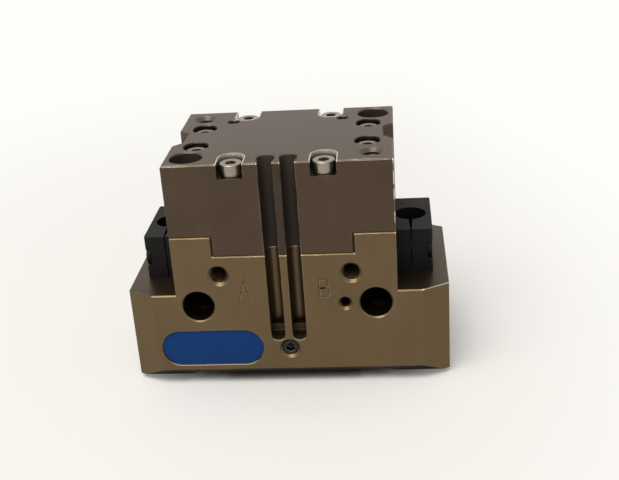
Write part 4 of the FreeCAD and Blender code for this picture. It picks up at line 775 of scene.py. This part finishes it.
# Seals: moulded nitrile rings on the piston, round the shank and under the spring housing. Their
# rubber is dull and black, with a faint bloom.
RUBBER_DARK = (0.010, 0.010, 0.010, 1)
RUBBER_BLOOM = (0.030, 0.030, 0.029, 1)
seal_rubber = Finish("seal_rubber")
bloom = seal_rubber.noise(500.0, detail=3.0)
seal_rubber.dress({"Base Color": seal_rubber.mix(bloom, RUBBER_DARK, RUBBER_BLOOM),
                   "Roughness": 0.55 + 0.2 * bloom, "Normal": seal_rubber.bump(bloom, 0.1, 0.02 * MM)})
for node in ("cylinder_seal", "rod_seal", "piston_seal"):
    paint(node, seal_rubber.material)

# Springs: two coils of hard-drawn steel wire press the piston down and keep the grip when the air
# fails. Their end turns lie close and are ground flat; the stroke shortens them by a quarter.
SPRING_FLOOR = 26.65
SPRING_ROOF = 54.0
SPRING_WIRE = 1.4
SPRING_TURNS = 7.0
WIRE_SIDES = 16
STEPS_PER_TURN = 48


def coil(centre, radius, wire, turns):
    """Wire ring carried along a helix: the level climbs slowly in the first and last turn.

    At turn t the wire's middle is radius out from the centre at angle 2 pi t, and its ring leans on
    the outward and the upward direction. Levels past the two ends are ground flat by clipping.
    """
    turn_at = np.linspace(0, turns, int(turns * STEPS_PER_TURN) + 1)[:, None]
    low, high = SPRING_FLOOR + 0.2 * wire, SPRING_ROOF - 0.2 * wire
    level = np.interp(turn_at, [0, 1, turns - 1, turns], [low, low + wire, high - wire, high])
    ring = np.arange(WIRE_SIDES) * 2 * np.pi / WIRE_SIDES
    out = radius + wire / 2 * np.cos(ring)
    points = np.stack([centre + out * np.cos(2 * np.pi * turn_at), out * np.sin(2 * np.pi * turn_at),
                       np.clip(level - wire / 2 * np.sin(ring), SPRING_FLOOR, SPRING_ROOF)], axis=-1)
    ends = points[[0, -1]].mean(axis=1)
    quads, triangles = skin(len(turn_at), WIRE_SIDES)
    return np.concatenate([points.reshape(-1, 3), ends]), quads, triangles


spring_wire = ground_steel("spring_wire", dark=(0.16, 0.155, 0.15, 1), light=(0.26, 0.25, 0.24, 1),
                           grain=(900.0, 900.0, 900.0), roughness=0.3)
for node in ("spring_left", "spring_right"):
    low, high = [np.array(corner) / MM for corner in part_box(node)]
    centre, outer = (low[0] + high[0]) / 2, (high[0] - low[0]) / 2
    wound = coil(centre, outer - SPRING_WIRE / 2, SPRING_WIRE, SPRING_TURNS)
    spring = make_piece(f"coil_{node}", wound, spring_wire, "gripper_body", [node])
    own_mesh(spring)
